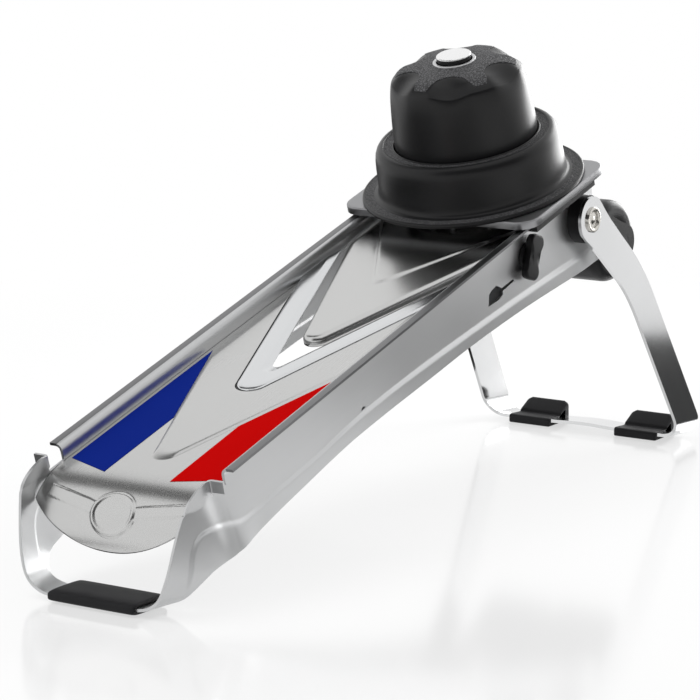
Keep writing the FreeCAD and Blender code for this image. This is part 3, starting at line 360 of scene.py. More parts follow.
def plate_rows():
    """Sheets of points of the plate: the wall and foot, the rail, the horn and its stop tab."""
    knots = [((*level_of(u, NOTCH), plate_middle), (*level_of(*low), plate_middle)) for u, low in BODY_EDGES]
    knots += HORN_EDGES
    upper = through([knot[0] for knot in knots], PLATE_STEPS)
    lower = through([knot[1] for knot in knots], PLATE_STEPS)
    wall = []
    for top, bottom in zip(upper, lower):
        row = []
        for column in range(PLATE_COLUMNS + 1):
            x, z, wide = (blend(here, there, column / PLATE_COLUMNS) for here, there in zip(top, bottom))
            fade = ease(*STEP_FADE_HEIGHTS, z) * ease(*STEP_FADE_DISTANCES, x)
            wide += STEP_OUT * ease(-STEP_HALF, STEP_HALF, past_step(x, z)) * fade
            row.append((x, wide, z))
        wall.append(row)
    rail_end = (len(BODY_EDGES) + RAIL_PAIRS) * PLATE_STEPS
    horn_start = rail_end + NOTCH_PAIRS * PLATE_STEPS
    rail = []
    for x, z, _ in upper[:rail_end + 1]:
        rail.append([(x + lift.x * (w - NOTCH), wide, z + lift.z * (w - NOTCH)) for wide, w in RAIL_SECTION])
    outline = through(HORN_OUTLINE, PLATE_STEPS // 2)
    shares = [row / HORN_ROWS for row in range(HORN_ROWS + 1)]
    horn = []
    for (x, z, wide), (top_x, top_z) in zip(upper[horn_start:], outline):
        horn.append([(blend(top_x, x, share), blend(plate_middle, wide, share), blend(top_z, z, share))
                     for share in shares])
    tab = []
    for x, wide, z in horn[0][:HORN_ROWS]:
        tab.append([(x + slope.x * up, wide + out, z + slope.z * up) for up, out in TAB_SECTION])
    return wall, rail, horn, tab


def make_side_plate(name, side, node):
    """One side, on the left for 1 or the right for -1; its rail's top has a darker steel, a painted dark
    reflection.
    """
    points = []
    faces = []
    for rows in plate_rows():
        faces += woven(rows, offset=len(points))
        points += [on_floor(x, z, wide * side) for x, wide, z in flat(rows)]
    piece = new_piece(name, points, faces, "frame", "side_steel", [side_steel, rail_painted_reflection_steel], node)
    # faces on the rail flange's top take the darker steel, a painted dark reflection
    for face in piece.data.polygons:
        place = face.center - rail_start
        on_top = place.dot(slope) > (RAIL_FRONT - RAIL_REACH) * MM and place.dot(lift) > -RAIL_SKIN * MM
        on_flange = abs(face.center.y) > (plate_middle + RAIL_REACH) * MM
        face.material_index = 1 if on_top and on_flange else 0
    thicken(piece, plate_thick)
    return piece


make_side_plate("left_side", 1, "left_side_plate")
right_plate = make_side_plate("right_side", -1, "right_side_plate")

# Window and slit. One opening cut through the right side's steel, a small window that runs out into a narrow
# slit; the black cassette socket shows behind it.
CUT_BEYOND = 4.0
# the opening's outline, as (u, w)
WINDOW = [(251, -29.6), (253.2, -23.4), (256, -22.2), (261.6, -21.6), (264, -23.2), (266.6, -25.4),
          (279.6, -25.6), (280.2, -27.2), (267.4, -27.4), (267, -29.4), (262, -30.6)]


def make_cutter(outline, low, high):
    """A prism through the right side, for an opening in it."""
    count = len(outline)
    points = [spot(u, v, w) for v in (low, high) for u, w in outline]
    faces = [tuple(range(count)), tuple(range(2 * count - 1, count - 1, -1))]
    faces += [(here, (here + 1) % count, count + (here + 1) % count, count + here) for here in range(count)]
    return new_object("cutter", points, faces)


cutter = make_cutter(WINDOW, -plate_outer - CUT_BEYOND, -deck_half + CUT_BEYOND)
opening = right_plate.modifiers.new("window", "BOOLEAN")
opening.object = cutter
opening.operation = "DIFFERENCE"
opening.solver = "EXACT"
bpy.context.view_layer.update()
cut_plate = right_plate.evaluated_get(bpy.context.evaluated_depsgraph_get())
cut_mesh = bpy.data.meshes.new_from_object(cut_plate)
right_plate.modifiers.clear()
right_plate.data = cut_mesh
bpy.data.objects.remove(cutter)

# Cassette socket and tie rod. The socket is a moulded black block behind the window, and the rod is a plain
# steel spacer that holds the two sides apart under the deck.


def moulded_black(name, colour, rough, pitch, depth):
    """Black plastic or rubber with a fine moulded texture."""
    finish, place = new_finish(name)
    clouds = noise(place, scale=60.0)
    grit = noise(place, pitch, rough=0.6)
    surface(place, Base_Color=clouds.tint(colour, toned(colour, 1.5)),
            Roughness=clouds * 0.12 + grit * 0.08 + (rough - 0.1), Specular_IOR_Level=0.2,
            Normal=bumped(grit, depth))
    return finish


def paint_node(name, finish):
    """Gives a carried-over CAD node its finish."""
    node = frame["nodes"][name]
    node.data.materials.clear()
    node.data.materials.append(finish)


# black moulded plastic for the inner parts; the same finish also paints the walls of the gap round the blade
# black, a painted shadow
inner_plastic_and_gap_shadow = moulded_black("inner_black_plastic_and_gap_shadow", (0.007, 0.007, 0.0075),
                              rough=0.45, pitch=900.0, depth=0.3)
plain_steel = brushed_steel("turned_steel", (0.66, 0.67, 0.68),
                            rough=0.32, depth=0.15, along=across, side=slope, over=lift)
paint_node("cassette_socket", inner_plastic_and_gap_shadow)
paint_node("tie_rod", plain_steel)

# Front foot sleeve. A soft black rubber tube pulled over the foot strip; it has thick rounded walls, and its
# ends are open round the steel.
SLEEVE_POINTS = 48
sleeve_low, sleeve_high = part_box("front_foot_sleeve")
sleeve_middle = (sleeve_low.x + sleeve_high.x) / 2
sleeve_wide = (sleeve_high.x - sleeve_low.x) / 2 / MM
sleeve_tall = sleeve_high.z / 2 / MM
# from inside the right end over its rim and along the sleeve, as (y, half width, half height, squareness)
SLEEVE_STATIONS = [
    (-14, 12.1, 0.8, 8), (-26.2, 12.1, 0.8, 8), (-26.8, 12.5, 1.2, 6), (-27, 13.1, 1.8, 4.6),
    (-26.8, 13.8, 2.5, 4.2), (-26.2, 14.2, 2.9, 4), (-24.8, 14.4, 3.1, 3.8), (-20, sleeve_wide, 3.2, 3.6),
    (-8, sleeve_wide, sleeve_tall, 3.6)]


def round_angles(count):
    """The directions of some points spaced evenly round a circle."""
    return [2 * math.pi * number / count for number in range(count)]


def sleeve_ring(y, half_long, half_tall, centre_z, power):
    """A rounded flat section of the sleeve."""
    ring = []
    for angle in round_angles(SLEEVE_POINTS):
        cosine, sine = math.cos(angle), math.sin(angle)
        long = math.copysign(abs(cosine) ** (2 / power), cosine) * half_long
        tall = math.copysign(abs(sine) ** (2 / power), sine) * half_tall
        ring.append(Vector((sleeve_middle + long * MM, y * MM, (centre_z + tall) * MM)))
    return ring


sleeve_rows = []
for y, wide, tall, power in SLEEVE_STATIONS:
    sleeve_rows.append(sleeve_ring(y, wide, tall, sleeve_tall, power))
sleeve_rows += [[Vector((point.x, -point.y, point.z)) for point in ring] for ring in reversed(sleeve_rows)]
foot_rubber = moulded_black("foot_rubber", (0.010, 0.010, 0.011), rough=0.55, pitch=1400.0, depth=0.35)
sleeve = new_piece("foot_sleeve", flat(sleeve_rows), woven(sleeve_rows, True), "frame", "black_rubber",
                   [foot_rubber], "front_foot_sleeve")
soften(sleeve, edge=0)

# Receiving plate. A brushed steel deck that lies between the sides, with a raised chevron behind the colour
# stripes and a lip that rolls down at the low end, with a plain oval boss and two pressed bands on the roll.
DECK_TOP = -9.0
DECK_THICK = 1.2
DECK_SHARE = 0.998
LIP_START = 0.0
LIP_EASE = 20.0
LIP_RADIUS = 32.0
LIP_END = 53.3
LIP_ROUND = 69.0
CHEVRON_ANGLE = math.radians(19.8)
CHEVRON_PEAK = -3.5
CHEVRON_NOSE = 7.1
CHEVRON_RISE = 1.0
CHEVRON_EDGE = 3.0
CHEVRON_FADE = (40.5, 46.5)
BLADE_ANGLE = math.radians(18.3)
BLADE_PEAK = 68.5
BLADE_WIDE = 13.6
BLADE_NOSE = 9.5
BLADE_INNER_NOSE = 3.0
BOSS_PLACE = 33.5
BOSS_LONG = 11.6
BOSS_WIDE = 13.4
BOSS_TALL = 0.5
BOSS_EDGE = (0.98, 1.06)
BOSS_RIM_TALL = 0.55
BOSS_RIM_INNER = (0.80, 0.86)
BOSS_RIM_OUTER = (0.94, 1.02)
BAND_PLACE = BOSS_PLACE + 1.0
BAND_HALF = 3.4
BAND_TALL = 0.6
BAND_EDGE = 0.4
BAND_ENDS = (43.0, 44.2)
BAND_RISE = 0.2
DECK_COLUMNS = 200
LIP_STEPS = 70
FLAT_STEPS = 20
BEVEL_STEPS = 12
# the joint round the blade and the deck's edge under it, as (distance inside the blade's outline, sink); its
# first faces are painted black, a painted shadow in the gap
GAP_SHADOW_FACES = 3
JOINT = [(-0.55, 0.0), (-0.4, 0.5), (0.1, 0.6), (0.6, 0.4), (6.0, 0.4)]


def vee_line(v, peak, nose, angle):
    """How far up the slope a V with a round nose is, at a distance v from its middle.

    Its straight sides would meet at the peak, and angle is what each makes with the middle line."""
    out = abs(v)
    if out > nose * math.cos(angle):
        return peak + out / math.tan(angle)
    return peak + nose / math.sin(angle) - math.sqrt(nose ** 2 - out ** 2)


def blade_line(v, inside):
    """The blade's outline at a distance inside its outer edge."""
    nose = blend(BLADE_NOSE, BLADE_INNER_NOSE, max(inside, 0) / BLADE_WIDE)
    return vee_line(v, BLADE_PEAK + inside / math.sin(BLADE_ANGLE), nose, BLADE_ANGLE)


def chevron_line(v):
    """The foot of the chevron at a distance from the middle."""
    return vee_line(v, CHEVRON_PEAK, CHEVRON_NOSE, CHEVRON_ANGLE)


def rolled(distance):
    """The place along u and w and the turn of the deck's line at a distance round the roll.

    The bend eases in, as the first terms of its series, and then keeps one radius."""
    eased = min(distance, LIP_EASE)
    curl = eased ** 2 / (2 * LIP_RADIUS * LIP_EASE)
    turn = curl + (distance - eased) / LIP_RADIUS
    u = LIP_START - eased * (1 - curl ** 2 / 10) - LIP_RADIUS * (math.sin(turn) - math.sin(curl))
    w = DECK_TOP - eased * (curl / 3 - curl ** 3 / 42) - LIP_RADIUS * (math.cos(curl) - math.cos(turn))
    return u, w, turn


def pressing(roll, v):
    """How far the lip stands out at a distance round the roll: the boss with its rim, and the bands."""
    ring = math.hypot((roll - BOSS_PLACE) / BOSS_LONG, v / BOSS_WIDE)
    boss = BOSS_TALL * (1 - ease(*BOSS_EDGE, ring))
    rim = BOSS_RIM_TALL * ease(*BOSS_RIM_INNER, ring) * (1 - ease(*BOSS_RIM_OUTER, ring))
    off = abs(roll - BAND_PLACE + BAND_RISE * abs(v))
    band = BAND_TALL * (1 - ease(BAND_HALF - BAND_EDGE, BAND_HALF + BAND_EDGE, off))
    return max(boss, band * (1 - ease(*BAND_ENDS, abs(v)))) + rim


def chevron_height(u, v):
    """The chevron's rise over the deck: a crease at its foot and a round crest."""
    inside = (u - chevron_line(v)) * math.sin(CHEVRON_ANGLE) / CHEVRON_EDGE
    crest = math.sin(math.pi / 2 * min(max(inside, 0.0), 1.0))
    return CHEVRON_RISE * crest * (1 - ease(*CHEVRON_FADE, abs(v)))


def deck_spot(u, v, rise=0.0):
    """A point over the deck, or over its roll where u lies before the roll's start."""
    if u >= LIP_START:
        return spot(u, v, DECK_TOP + chevron_height(u, v) + rise)
    roll_u, roll_w, turn = rolled(LIP_START - u)
    return spot(roll_u - rise * math.sin(turn), v, roll_w + rise * math.cos(turn))


deck_rows = []
for column in range(DECK_COLUMNS + 1):
    v = blend(-deck_half, deck_half, column / DECK_COLUMNS) * DECK_SHARE
    lip_long = LIP_END - LIP_ROUND + math.sqrt(LIP_ROUND ** 2 - v ** 2)
    row = []
    for step in range(LIP_STEPS):
        roll = lip_long * (1 - step / LIP_STEPS)
        row.append(deck_spot(LIP_START - roll, v, pressing(roll, v)))
    foot = chevron_line(v)
    crest = foot + CHEVRON_EDGE / math.sin(CHEVRON_ANGLE)
    joint = blade_line(v, JOINT[0][0])
    stations = [blend(LIP_START, foot, step / FLAT_STEPS) for step in range(FLAT_STEPS)]
    stations += [blend(foot, crest, step / BEVEL_STEPS) for step in range(BEVEL_STEPS)]
    stations += [blend(crest, joint, step / FLAT_STEPS) for step in range(FLAT_STEPS)]
    row += [deck_spot(u, v) for u in stations]
    row += [deck_spot(blade_line(v, inside), v, -sink) for inside, sink in JOINT]
    deck_rows.append(row)
deck_steel = brushed_steel("deck_brushed_steel", (0.60, 0.60, 0.595), rough=0.26, depth=0.05)
deck = new_piece("receiving_deck", flat(deck_rows), woven(deck_rows), "frame", "deck_steel",
                 [deck_steel, inner_plastic_and_gap_shadow], "receiving_plate")
joint_start = len(deck_rows[0]) - len(JOINT)
# faces on the gap's walls round the blade take the black finish, a painted shadow in the gap
for number, face in enumerate(deck.data.polygons):
    in_gap_shadow = joint_start <= number % (len(deck_rows[0]) - 1) < joint_start + GAP_SHADOW_FACES
    face.material_index = 1 if in_gap_shadow else 0
thicken(deck, DECK_THICK, offset=-1.0, edge=0)

# Colour stripes. Two thin printed films, blue on the left and red on the right, stuck on the deck beside the
# chevron; they follow its edge and end square to the lip.
STRIPE_FRONT = -8.0
STRIPE_CORNER = 0.0
STRIPE_IN = 20.6
STRIPE_OUT = 47.4
STRIPE_GAP = 0.4
STRIPE_COLUMNS = 56
STRIPE_STEPS = 60
FILM_TOP = 0.16
FILM_THICK = 0.14


def printed_film(name, colour):
    """A coloured film with a faint grain from its print, and less gloss than the steel round it."""
    finish, place = new_finish(name)
    print_grain = noise(place, scale=2600.0)
    clouds = noise(place, scale=30.0)
    surface(place, Base_Color=(clouds * 0.7 + print_grain * 0.3).tint(toned(colour, 0.88), colour),
            Roughness=clouds * 0.08 + print_grain * 0.06 + 0.24, IOR=1.02, Specular_IOR_Level=0.5,
            Normal=bumped(print_grain, strength=0.04))
    return finish


def make_stripe(name, side, colour, slot, node):
    """One film, on the left for 1 or the right for -1."""
    rows = []
    for column in range(STRIPE_COLUMNS + 1):
        out = blend(STRIPE_IN, STRIPE_OUT, column / STRIPE_COLUMNS)
        front = blend(STRIPE_FRONT, STRIPE_CORNER, column / STRIPE_COLUMNS)
        back = chevron_line(out) - STRIPE_GAP
        row = []
        for step in range(STRIPE_STEPS + 1):
            u = blend(front, back, step / STRIPE_STEPS)
            row.append(deck_spot(u, out * side, FILM_TOP))
        rows.append(row)
    film = printed_film(name + "_print", colour)
    stripe = new_piece(name, flat(rows), woven(rows), "frame", slot, [film], node)
    thicken(stripe, FILM_THICK, offset=-1.0, edge=0)


make_stripe("blue_film", 1, (0.006, 0.020, 0.22), "blue_film", "blue_stripe")
make_stripe("red_film", -1, (0.545, 0.002, 0.002), "red_film", "red_stripe")

# V blade. Two bright ground arms in one piece, set on the deck's cut edge; the inner side is hollow ground
# down to the edge, with a second bevel line along it.
BLADE_COLUMNS = 120
BLADE_GAP = 0.3
BLADE_SKIN = 0.1
# across an arm from the outer edge to the cutting edge, as (distance inside, height over the deck)
BLADE_SECTION = [
    (0.0, -0.4), (0.0, 0.5), (0.2, 1.0), (0.7, 1.4), (1.5, 1.65), (2.6, 1.78), (4.0, 1.8), (7.6, 1.8),
    (9.2, 1.76), (9.7, 1.66), (10.8, 1.25), (11.9, 0.85), (12.8, 0.5), (BLADE_WIDE, 0.12)]
blade_half = deck_half - BLADE_GAP
blade_rows = []
for inside, tall in BLADE_SECTION:
    row = []
    for column in range(BLADE_COLUMNS + 1):
        v = blend(-blade_half, blade_half, column / BLADE_COLUMNS)
        row.append(spot(blade_line(v, inside), v, DECK_TOP + tall))
    blade_rows.append(row)
blade_steel = brushed_steel("blade_ground_steel", (0.70, 0.71, 0.72),
                            rough=0.17, depth=0.05, along=across, side=slope, over=lift)
blade = new_piece("vee_blade", flat(blade_rows), woven(blade_rows), "frame", "blade_steel",
                  [blade_steel, inner_plastic_and_gap_shadow], "v_blade")
# the blade's outer side strip, down in the gap, takes the black finish: a painted shadow in the gap
for number, face in enumerate(blade.data.polygons):
    face.material_index = 1 if number < BLADE_COLUMNS else 0
skin = blade.modifiers.new("thickness", "SOLIDIFY")
skin.thickness = BLADE_SKIN * MM
skin.offset = -1.0
soften(blade, edge=0)

# Leg axle and spacers. A steel axle through both sides, which the leg turns on, with a black moulded spacer
# on each end between the side and the leg head.
spacer_plastic = moulded_black("spacer_black_plastic", (0.006, 0.006, 0.0065),
                               rough=0.4, pitch=900.0, depth=0.2)
paint_node("leg_axle", plain_steel)
for name in ("left_leg_spacer", "right_leg_spacer"):
    paint_node(name, spacer_plastic)

# Rear leg. One polished flat bar bent to a U; its arms leave the round heads on the axle, turn down through
# a soft knee and spread a little to the cross strip, which lies nearly level over the floor.
LEG_WIDE = 24.0
LEG_THICK = 2.0
HEAD_RADIUS = 13.5
UPPER_LONG = 64.0
UPPER_ANGLE = math.radians(50)
LOWER_ANGLE = math.radians(31)
STRIP_TIP = math.radians(4)
PAD_FLOOR = 2.6
HEEL = 12.0
LEG_BEND = 13.0
SPREAD_TOP = 136.0
KNEE_BEFORE = 46.0
KNEE_AFTER = 22.0
STRIP_BOW = 0.8
STRIP_BOW_SHARES = (0.55, 1)
SPREAD_FOOT = 15.0
SPREAD_INSET = 0.5
SPREAD_EASE = (0, 0.3)
SPREAD_STRAIGHT = 0.6
BEND_OUT = 0.9
HEAD_GAP = 0.3
HEAD_TIP = 0.4
HEAD_STEPS = 14
KNEE_STEPS = 20
ARM_STEPS = 24
BEND_STEPS = 14
STRIP_STEPS = 18
BAR_SHARES = (0, 0.02, 0.2, 0.4, 0.6, 0.8, 0.98, 1)
LEG_EDGE = 0.45
# below the axle, where the round head runs into the bar, as (distance along the bar, half width)
HEAD_SHOULDER = [(3.0, 13.2), (7.0, 12.7), (12.0, 12.3), (18.0, 12.0), (26.0, 12.0), (34.0, 12.0),
                 (42.0, 12.0)]
leg_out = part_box("rear_leg")[1].y / MM
pivot_x, pivot_z = level_of(PIVOT_U, PIVOT_W)
knee_x = pivot_x + UPPER_LONG * math.sin(UPPER_ANGLE)
knee_z = pivot_z - UPPER_LONG * math.cos(UPPER_ANGLE)
arm_lean = LOWER_ANGLE + STRIP_TIP
level_half = LEG_WIDE / 2 / math.cos(arm_lean)
leg_fall = ((knee_z - PAD_FLOOR + level_half * math.sin(STRIP_TIP))
            / (math.cos(STRIP_TIP) + math.tan(arm_lean) * math.sin(STRIP_TIP)))
cross_wide = 2 * level_half - HEEL * math.tan(arm_lean)
head_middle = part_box("left_leg_spacer")[1].y / MM + HEAD_GAP + LEG_THICK / 2
corner_wide = leg_out - LEG_THICK / 2


def polished_steel(name, colour, rough):
    """Bright bar steel with hardly any marks."""
    finish, place = new_finish(name)
    clouds = noise(place, scale=18.0, detail=3.0)
    marks = stretched(place, lift, across, slope, long_scale=30.0, fine_scale=1500.0)
    surface(place, Base_Color=clouds.tint(toned(colour, 0.93), colour), Metallic=1.0,
            Roughness=clouds * 0.05 + marks * 0.05 + (rough - 0.05), Normal=bumped(marks, strength=0.02))
    return finish


def by_knee(along, up):
    """A point by the knee, along the cross strip's lie and square to it, as (distance, height)."""
    return (knee_x + along * math.cos(STRIP_TIP) + up * math.sin(STRIP_TIP),
            knee_z - along * math.sin(STRIP_TIP) + up * math.cos(STRIP_TIP))


def arm_edges(fall_front, fall_back):
    """The front and back edges of a lower arm, each at its own fall below the knee."""
    slant = math.tan(arm_lean)
    back = min(level_half + fall_back * slant, leg_fall * slant - level_half + cross_wide)
    return by_knee(fall_front * slant - level_half, -fall_front), by_knee(back, -fall_back)


def bar_across(x, z, lean, half):
    """The two edges of the bar at a point of its middle line."""
    side_x, side_z = math.cos(lean) * half, math.sin(lean) * half
    return (x - side_x, z - side_z), (x + side_x, z + side_z)


def spread(z):
    """The half width over the arms at a height."""
    share = min(max((SPREAD_TOP - z) / (SPREAD_TOP - SPREAD_FOOT), 0.0), 1.0)
    share *= blend(ease(*SPREAD_EASE, share), 1.0, SPREAD_STRAIGHT)
    return blend(head_middle, corner_wide - SPREAD_INSET, share)


def leg_rows():
    """Rows across the bar, from the right head down, over the strip and up to the left head."""
    upper_way = (math.sin(UPPER_ANGLE), -math.cos(UPPER_ANGLE))
    lower_way = (math.sin(LOWER_ANGLE), -math.cos(LOWER_ANGLE))
    heads = []
    for step in range(HEAD_STEPS):
        angle = math.pi / 2 * (1 - step / HEAD_STEPS)
        heads.append((-HEAD_RADIUS * math.sin(angle), max(HEAD_RADIUS * math.cos(angle), HEAD_TIP)))
    edges = []
    for along, half in heads + HEAD_SHOULDER:
        x, z = pivot_x + upper_way[0] * along, pivot_z + upper_way[1] * along
        edges.append(bar_across(x, z, UPPER_ANGLE, half))
    start = (pivot_x + upper_way[0] * KNEE_BEFORE, pivot_z + upper_way[1] * KNEE_BEFORE)
    end = (knee_x + lower_way[0] * KNEE_AFTER, knee_z + lower_way[1] * KNEE_AFTER)
    for step in range(KNEE_STEPS + 1):
        share = step / KNEE_STEPS
        x, z = (blend(blend(a, b, share), blend(b, c, share), share)
                for a, b, c in zip(start, (knee_x, knee_z), end))
        edges.append(bar_across(x, z, blend(UPPER_ANGLE, LOWER_ANGLE, ease(0, 1, share)), LEG_WIDE / 2))
    bend_start = leg_fall - LEG_BEND
    side_fall = LEG_WIDE / 2 * math.sin(arm_lean)
    after_fall = KNEE_AFTER * math.cos(arm_lean)
    for step in range(1, ARM_STEPS + 1):
        share = step / ARM_STEPS
        edges.append(arm_edges(blend(after_fall + side_fall, bend_start, share),
                               blend(after_fall - side_fall, bend_start, share)))
    rows = [(front, back, spread(front[1]), spread(back[1])) for front, back in edges]
    bend_wide = rows[-1][2]
    for step in range(1, BEND_STEPS + 1):
        angle = math.pi / 2 * step / BEND_STEPS
        fall = bend_start + (LEG_BEND - LEG_THICK / 2) * math.sin(angle)
        wide = bend_wide + BEND_OUT * math.sin(angle) - LEG_BEND * (1 - math.cos(angle))
        rows.append((*arm_edges(fall, fall), wide, wide))
    flat_wide = rows[-1][2]
    for step in range(1, STRIP_STEPS + 1):
        bow = STRIP_BOW * ease(*STRIP_BOW_SHARES, step / STRIP_STEPS)
        front, back = arm_edges(leg_fall - LEG_THICK / 2, leg_fall - LEG_THICK / 2)
        wide = flat_wide * (1 - step / STRIP_STEPS)
        rows.append(((front[0], front[1] + bow), (back[0], back[1] + bow), wide, wide))
    sheet = []
    for front, back, front_wide, back_wide in rows:
        sheet.append([(blend(front[0], back[0], share), -blend(front_wide, back_wide, share),
                       blend(front[1], back[1], share)) for share in BAR_SHARES])
    return sheet + [[(x, -y, z) for x, y, z in row] for row in reversed(sheet[:-1])]


bright_steel = polished_steel("leg_polished_steel", (0.72, 0.725, 0.73), rough=0.12)
bar = leg_rows()
bar_points = [on_floor(x, z, y) for x, y, z in flat(bar)]
leg = new_piece("folding_leg", bar_points, woven(bar), "leg", "polished_steel", [bright_steel], "rear_leg")
thicken(leg, LEG_THICK, edge=LEG_EDGE, segments=3)

# Pivot screws. A bright turned screw in the axle's end holds each leg head; its low head has a round socket
# with fine turned rings.
SCREW_HEAD = 7.4
SCREW_POINTS = 72
# from the seat on the leg over the rim and down the socket, as (radius, height over the leg)
SCREW_PROFILE = [
    (SCREW_HEAD, -0.1), (SCREW_HEAD, 1.0), (7.15, 1.3), (6.8, 1.4), (5.9, 1.4), (5.5, 1.2), (5.3, 0.9),
    (4.9, 0.8), (5.2, 0.6), (4.8, 0.5), (5.0, 0.3), (4.6, 0.15), (2.4, 0.15), (2.0, 0.5), (0.2, 0.55)]
screw_steel = polished_steel("screw_bright_steel", (0.64, 0.62, 0.58), rough=0.2)
leg_face = head_middle + LEG_THICK / 2
screw_points = []
screw_faces = []
for side in (1, -1):
    rows = []
    for radius, tall in SCREW_PROFILE:
        row = []
        for angle in round_angles(SCREW_POINTS):
            row.append(Vector((pivot.x + radius * math.cos(angle) * MM, side * (leg_face + tall) * MM,
                               pivot.z + radius * math.sin(angle) * MM)))
        rows.append(row)
    screw_faces += woven(rows, True, len(screw_points))
    screw_points += flat(rows)
screws = new_piece("leg_screws", screw_points, screw_faces, "frame", "plain_steel", [screw_steel],
                   "pivot_screws")
soften(screws, edge=0)

# Foot pads. Black rubber blocks moulded round the cross strip, with a flat on the floor, a low ledge to the
# front and a sloping lip behind with rounded corners.
PAD_LONG = 29.0
PAD_PLACE = 37.5
PAD_CORNER = 1.4
PAD_CORNER_LONG = 3.0
PAD_CORNER_HEIGHTS = (5.0, 12.0)
PAD_CORE = (10.4, 3.0)
PAD_CORE_REACH = 13.0
# from an end's middle over its edge to the full section, as (distance from the end, inset)
PAD_END = [(0.0, 5.0), (0.0, 0.9), (0.26, 0.35), (0.9, 0.0), (3.0, 0.0)]
strip_front = arm_edges(leg_fall, leg_fall)[0][0]
# from the front of the floor flat, back, up the lip and over the ledge, as (distance from the strip, height)
PAD_SECTION = [
    (-2.0, 0.0), (8.0, 0.0), (22.6, 0.0), (23.3, 0.7), (23.4, 3.0), (23.3, 9.6), (23.1, 11.4), (22.5, 12.1),
    (21.6, 12.1), (20.6, 11.6), (17.0, 9.1), (13.6, 6.7), (12.7, 5.9), (12.4, 5.1), (12.0, 4.6), (11.0, 4.5),
    (6.0, 4.8), (0.0, 5.2), (-1.6, 5.1), (-2.4, 4.4), (-2.6, 3.4), (-2.6, 0.6)]


def make_pad(name, side, node):
    """One pad, on the left for 1 or the right for -1."""
    rows = []
    half = PAD_LONG / 2
    stations = [(end - half, inset) for end, inset in PAD_END]
    stations += [(0, 0.0)] + [(half - end, inset) for end, inset in reversed(PAD_END)]
    for off, inset in stations:
        row = []
        for x, z in PAD_SECTION:
            corner = ease(*PAD_CORNER_HEIGHTS, z) * ease(half - PAD_CORNER_LONG, half, abs(off))
            shrink = 1 - inset / PAD_CORE_REACH
            x = blend(PAD_CORE[0], x, shrink)
            z = max(blend(PAD_CORE[1], z, shrink) - PAD_CORNER * corner, 0.0)
            row.append(on_floor(strip_front + x, z, PAD_PLACE * side + off))
        rows.append(row)
    pad = new_piece(name, flat(rows), woven(rows, True), "leg", "black_rubber", [foot_rubber], node)
    soften(pad, edge=0)


make_pad("left_pad", 1, "left_foot_pad")
make_pad("right_pad", -1, "right_foot_pad")

# Feed ramp. A brushed steel tray hinged on the leg axle, with a rounded V tip, a rim turned down all along
# its front and a raised triangle pressed in its upper half.
RAMP_LEAN = math.radians(0.4)
RAMP_UP = 16.5
RAMP_PEAK = -221.0
RAMP_NOSE = 8.0
RAMP_TAIL = 6.0
RAMP_HALF = 47.5
RAMP_ANGLE = math.radians(20)
RAMP_THICK = 1.2
RAMP_COLUMNS = 90
RAMP_STEPS = 110
RIM_ROUND = 3.6
RIM_DEEP = 5.6
RIM_SHARE = 0.75
TRIANGLE_TIP = -137.9
TRIANGLE_ROUND = 2.5
TRIANGLE_ANGLE = math.radians(28.6)
TRIANGLE_EDGE = 2.6
TRIANGLE_END = -26.0
TRIANGLE_RISE = 1.1
ramp_along = slope * math.cos(RAMP_LEAN) + lift * math.sin(RAMP_LEAN)
ramp_over = lift * math.cos(RAMP_LEAN) - slope * math.sin(RAMP_LEAN)


def ramp_point(a, v, h):
    """A point by the ramp's hinge: a along the ramp, v to the left, h over it."""
    return pivot + (ramp_along * a + across * v + ramp_over * h) * MM


def ramp_front(v, inside=0.0):
    """The ramp's front edge at a distance inside its outline."""
    return vee_line(v, RAMP_PEAK + inside / math.sin(RAMP_ANGLE), RAMP_NOSE - inside, RAMP_ANGLE)


def rim_drop(inside):
    """How far the rim has turned down at a distance inside the edge."""
    if inside >= RIM_ROUND:
        return 0.0
    return RIM_ROUND - math.sqrt(max(RIM_ROUND ** 2 - (RIM_ROUND - inside) ** 2, 0.0))


def triangle_height(a, v):
    """The raised triangle's rise over the ramp."""
    side_line = (math.hypot(v, TRIANGLE_ROUND) - TRIANGLE_ROUND) / math.tan(TRIANGLE_ANGLE)
    inside = (a - TRIANGLE_TIP - side_line) * math.sin(TRIANGLE_ANGLE)
    return TRIANGLE_RISE * ease(0, TRIANGLE_EDGE, min(inside, TRIANGLE_END - a))


# distances inside the edge, close together where the rim turns
edge_offs = [0.0, 0.12, 0.4, 0.9, 1.6, 2.5, RIM_ROUND]
side_vs = [RAMP_HALF - off for off in edge_offs]
flat_vs = [blend(side_vs[-1], -side_vs[-1], column / RAMP_COLUMNS) for column in range(1, RAMP_COLUMNS)]
ramp_vs = side_vs + flat_vs + [-v for v in reversed(side_vs)]
ramp_rows = []
for v in ramp_vs:
    side_drop = rim_drop(RAMP_HALF - abs(v))
    front = ramp_front(v)
    row = [(front, v, -RIM_DEEP), (front, v, -RIM_DEEP * RIM_SHARE)]
    for off in edge_offs:
        row.append((ramp_front(v, off), v, -max(rim_drop(off), side_drop)))
    start = row[-1][0]
    for step in range(1, RAMP_STEPS + 1):
        a = blend(start, RAMP_TAIL, step / RAMP_STEPS)
        row.append((a, v, triangle_height(a, v) - side_drop))
    ramp_rows.append([(a, v, max(h, -RIM_DEEP)) for a, v, h in row])
right_skirt, left_skirt = ([(a, v, -RIM_DEEP) for a, v, _ in row] for row in (ramp_rows[-1], ramp_rows[0]))
skirts = [left_skirt, *ramp_rows, right_skirt]
ramp_points = [ramp_point(a, v, RAMP_UP + h) for a, v, h in flat(skirts)]
ramp_steel = brushed_steel("ramp_brushed_steel", (0.60, 0.60, 0.595), rough=0.24, depth=0.012)
ramp = new_piece("ramp_tray", ramp_points, woven(skirts), "ramp", "deck_steel", [ramp_steel], "feed_ramp")
thicken(ramp, RAMP_THICK, offset=-1.0, edge=0)
for name in ("left_hinge_lug", "right_hinge_lug"):
    paint_node(name, plain_steel)

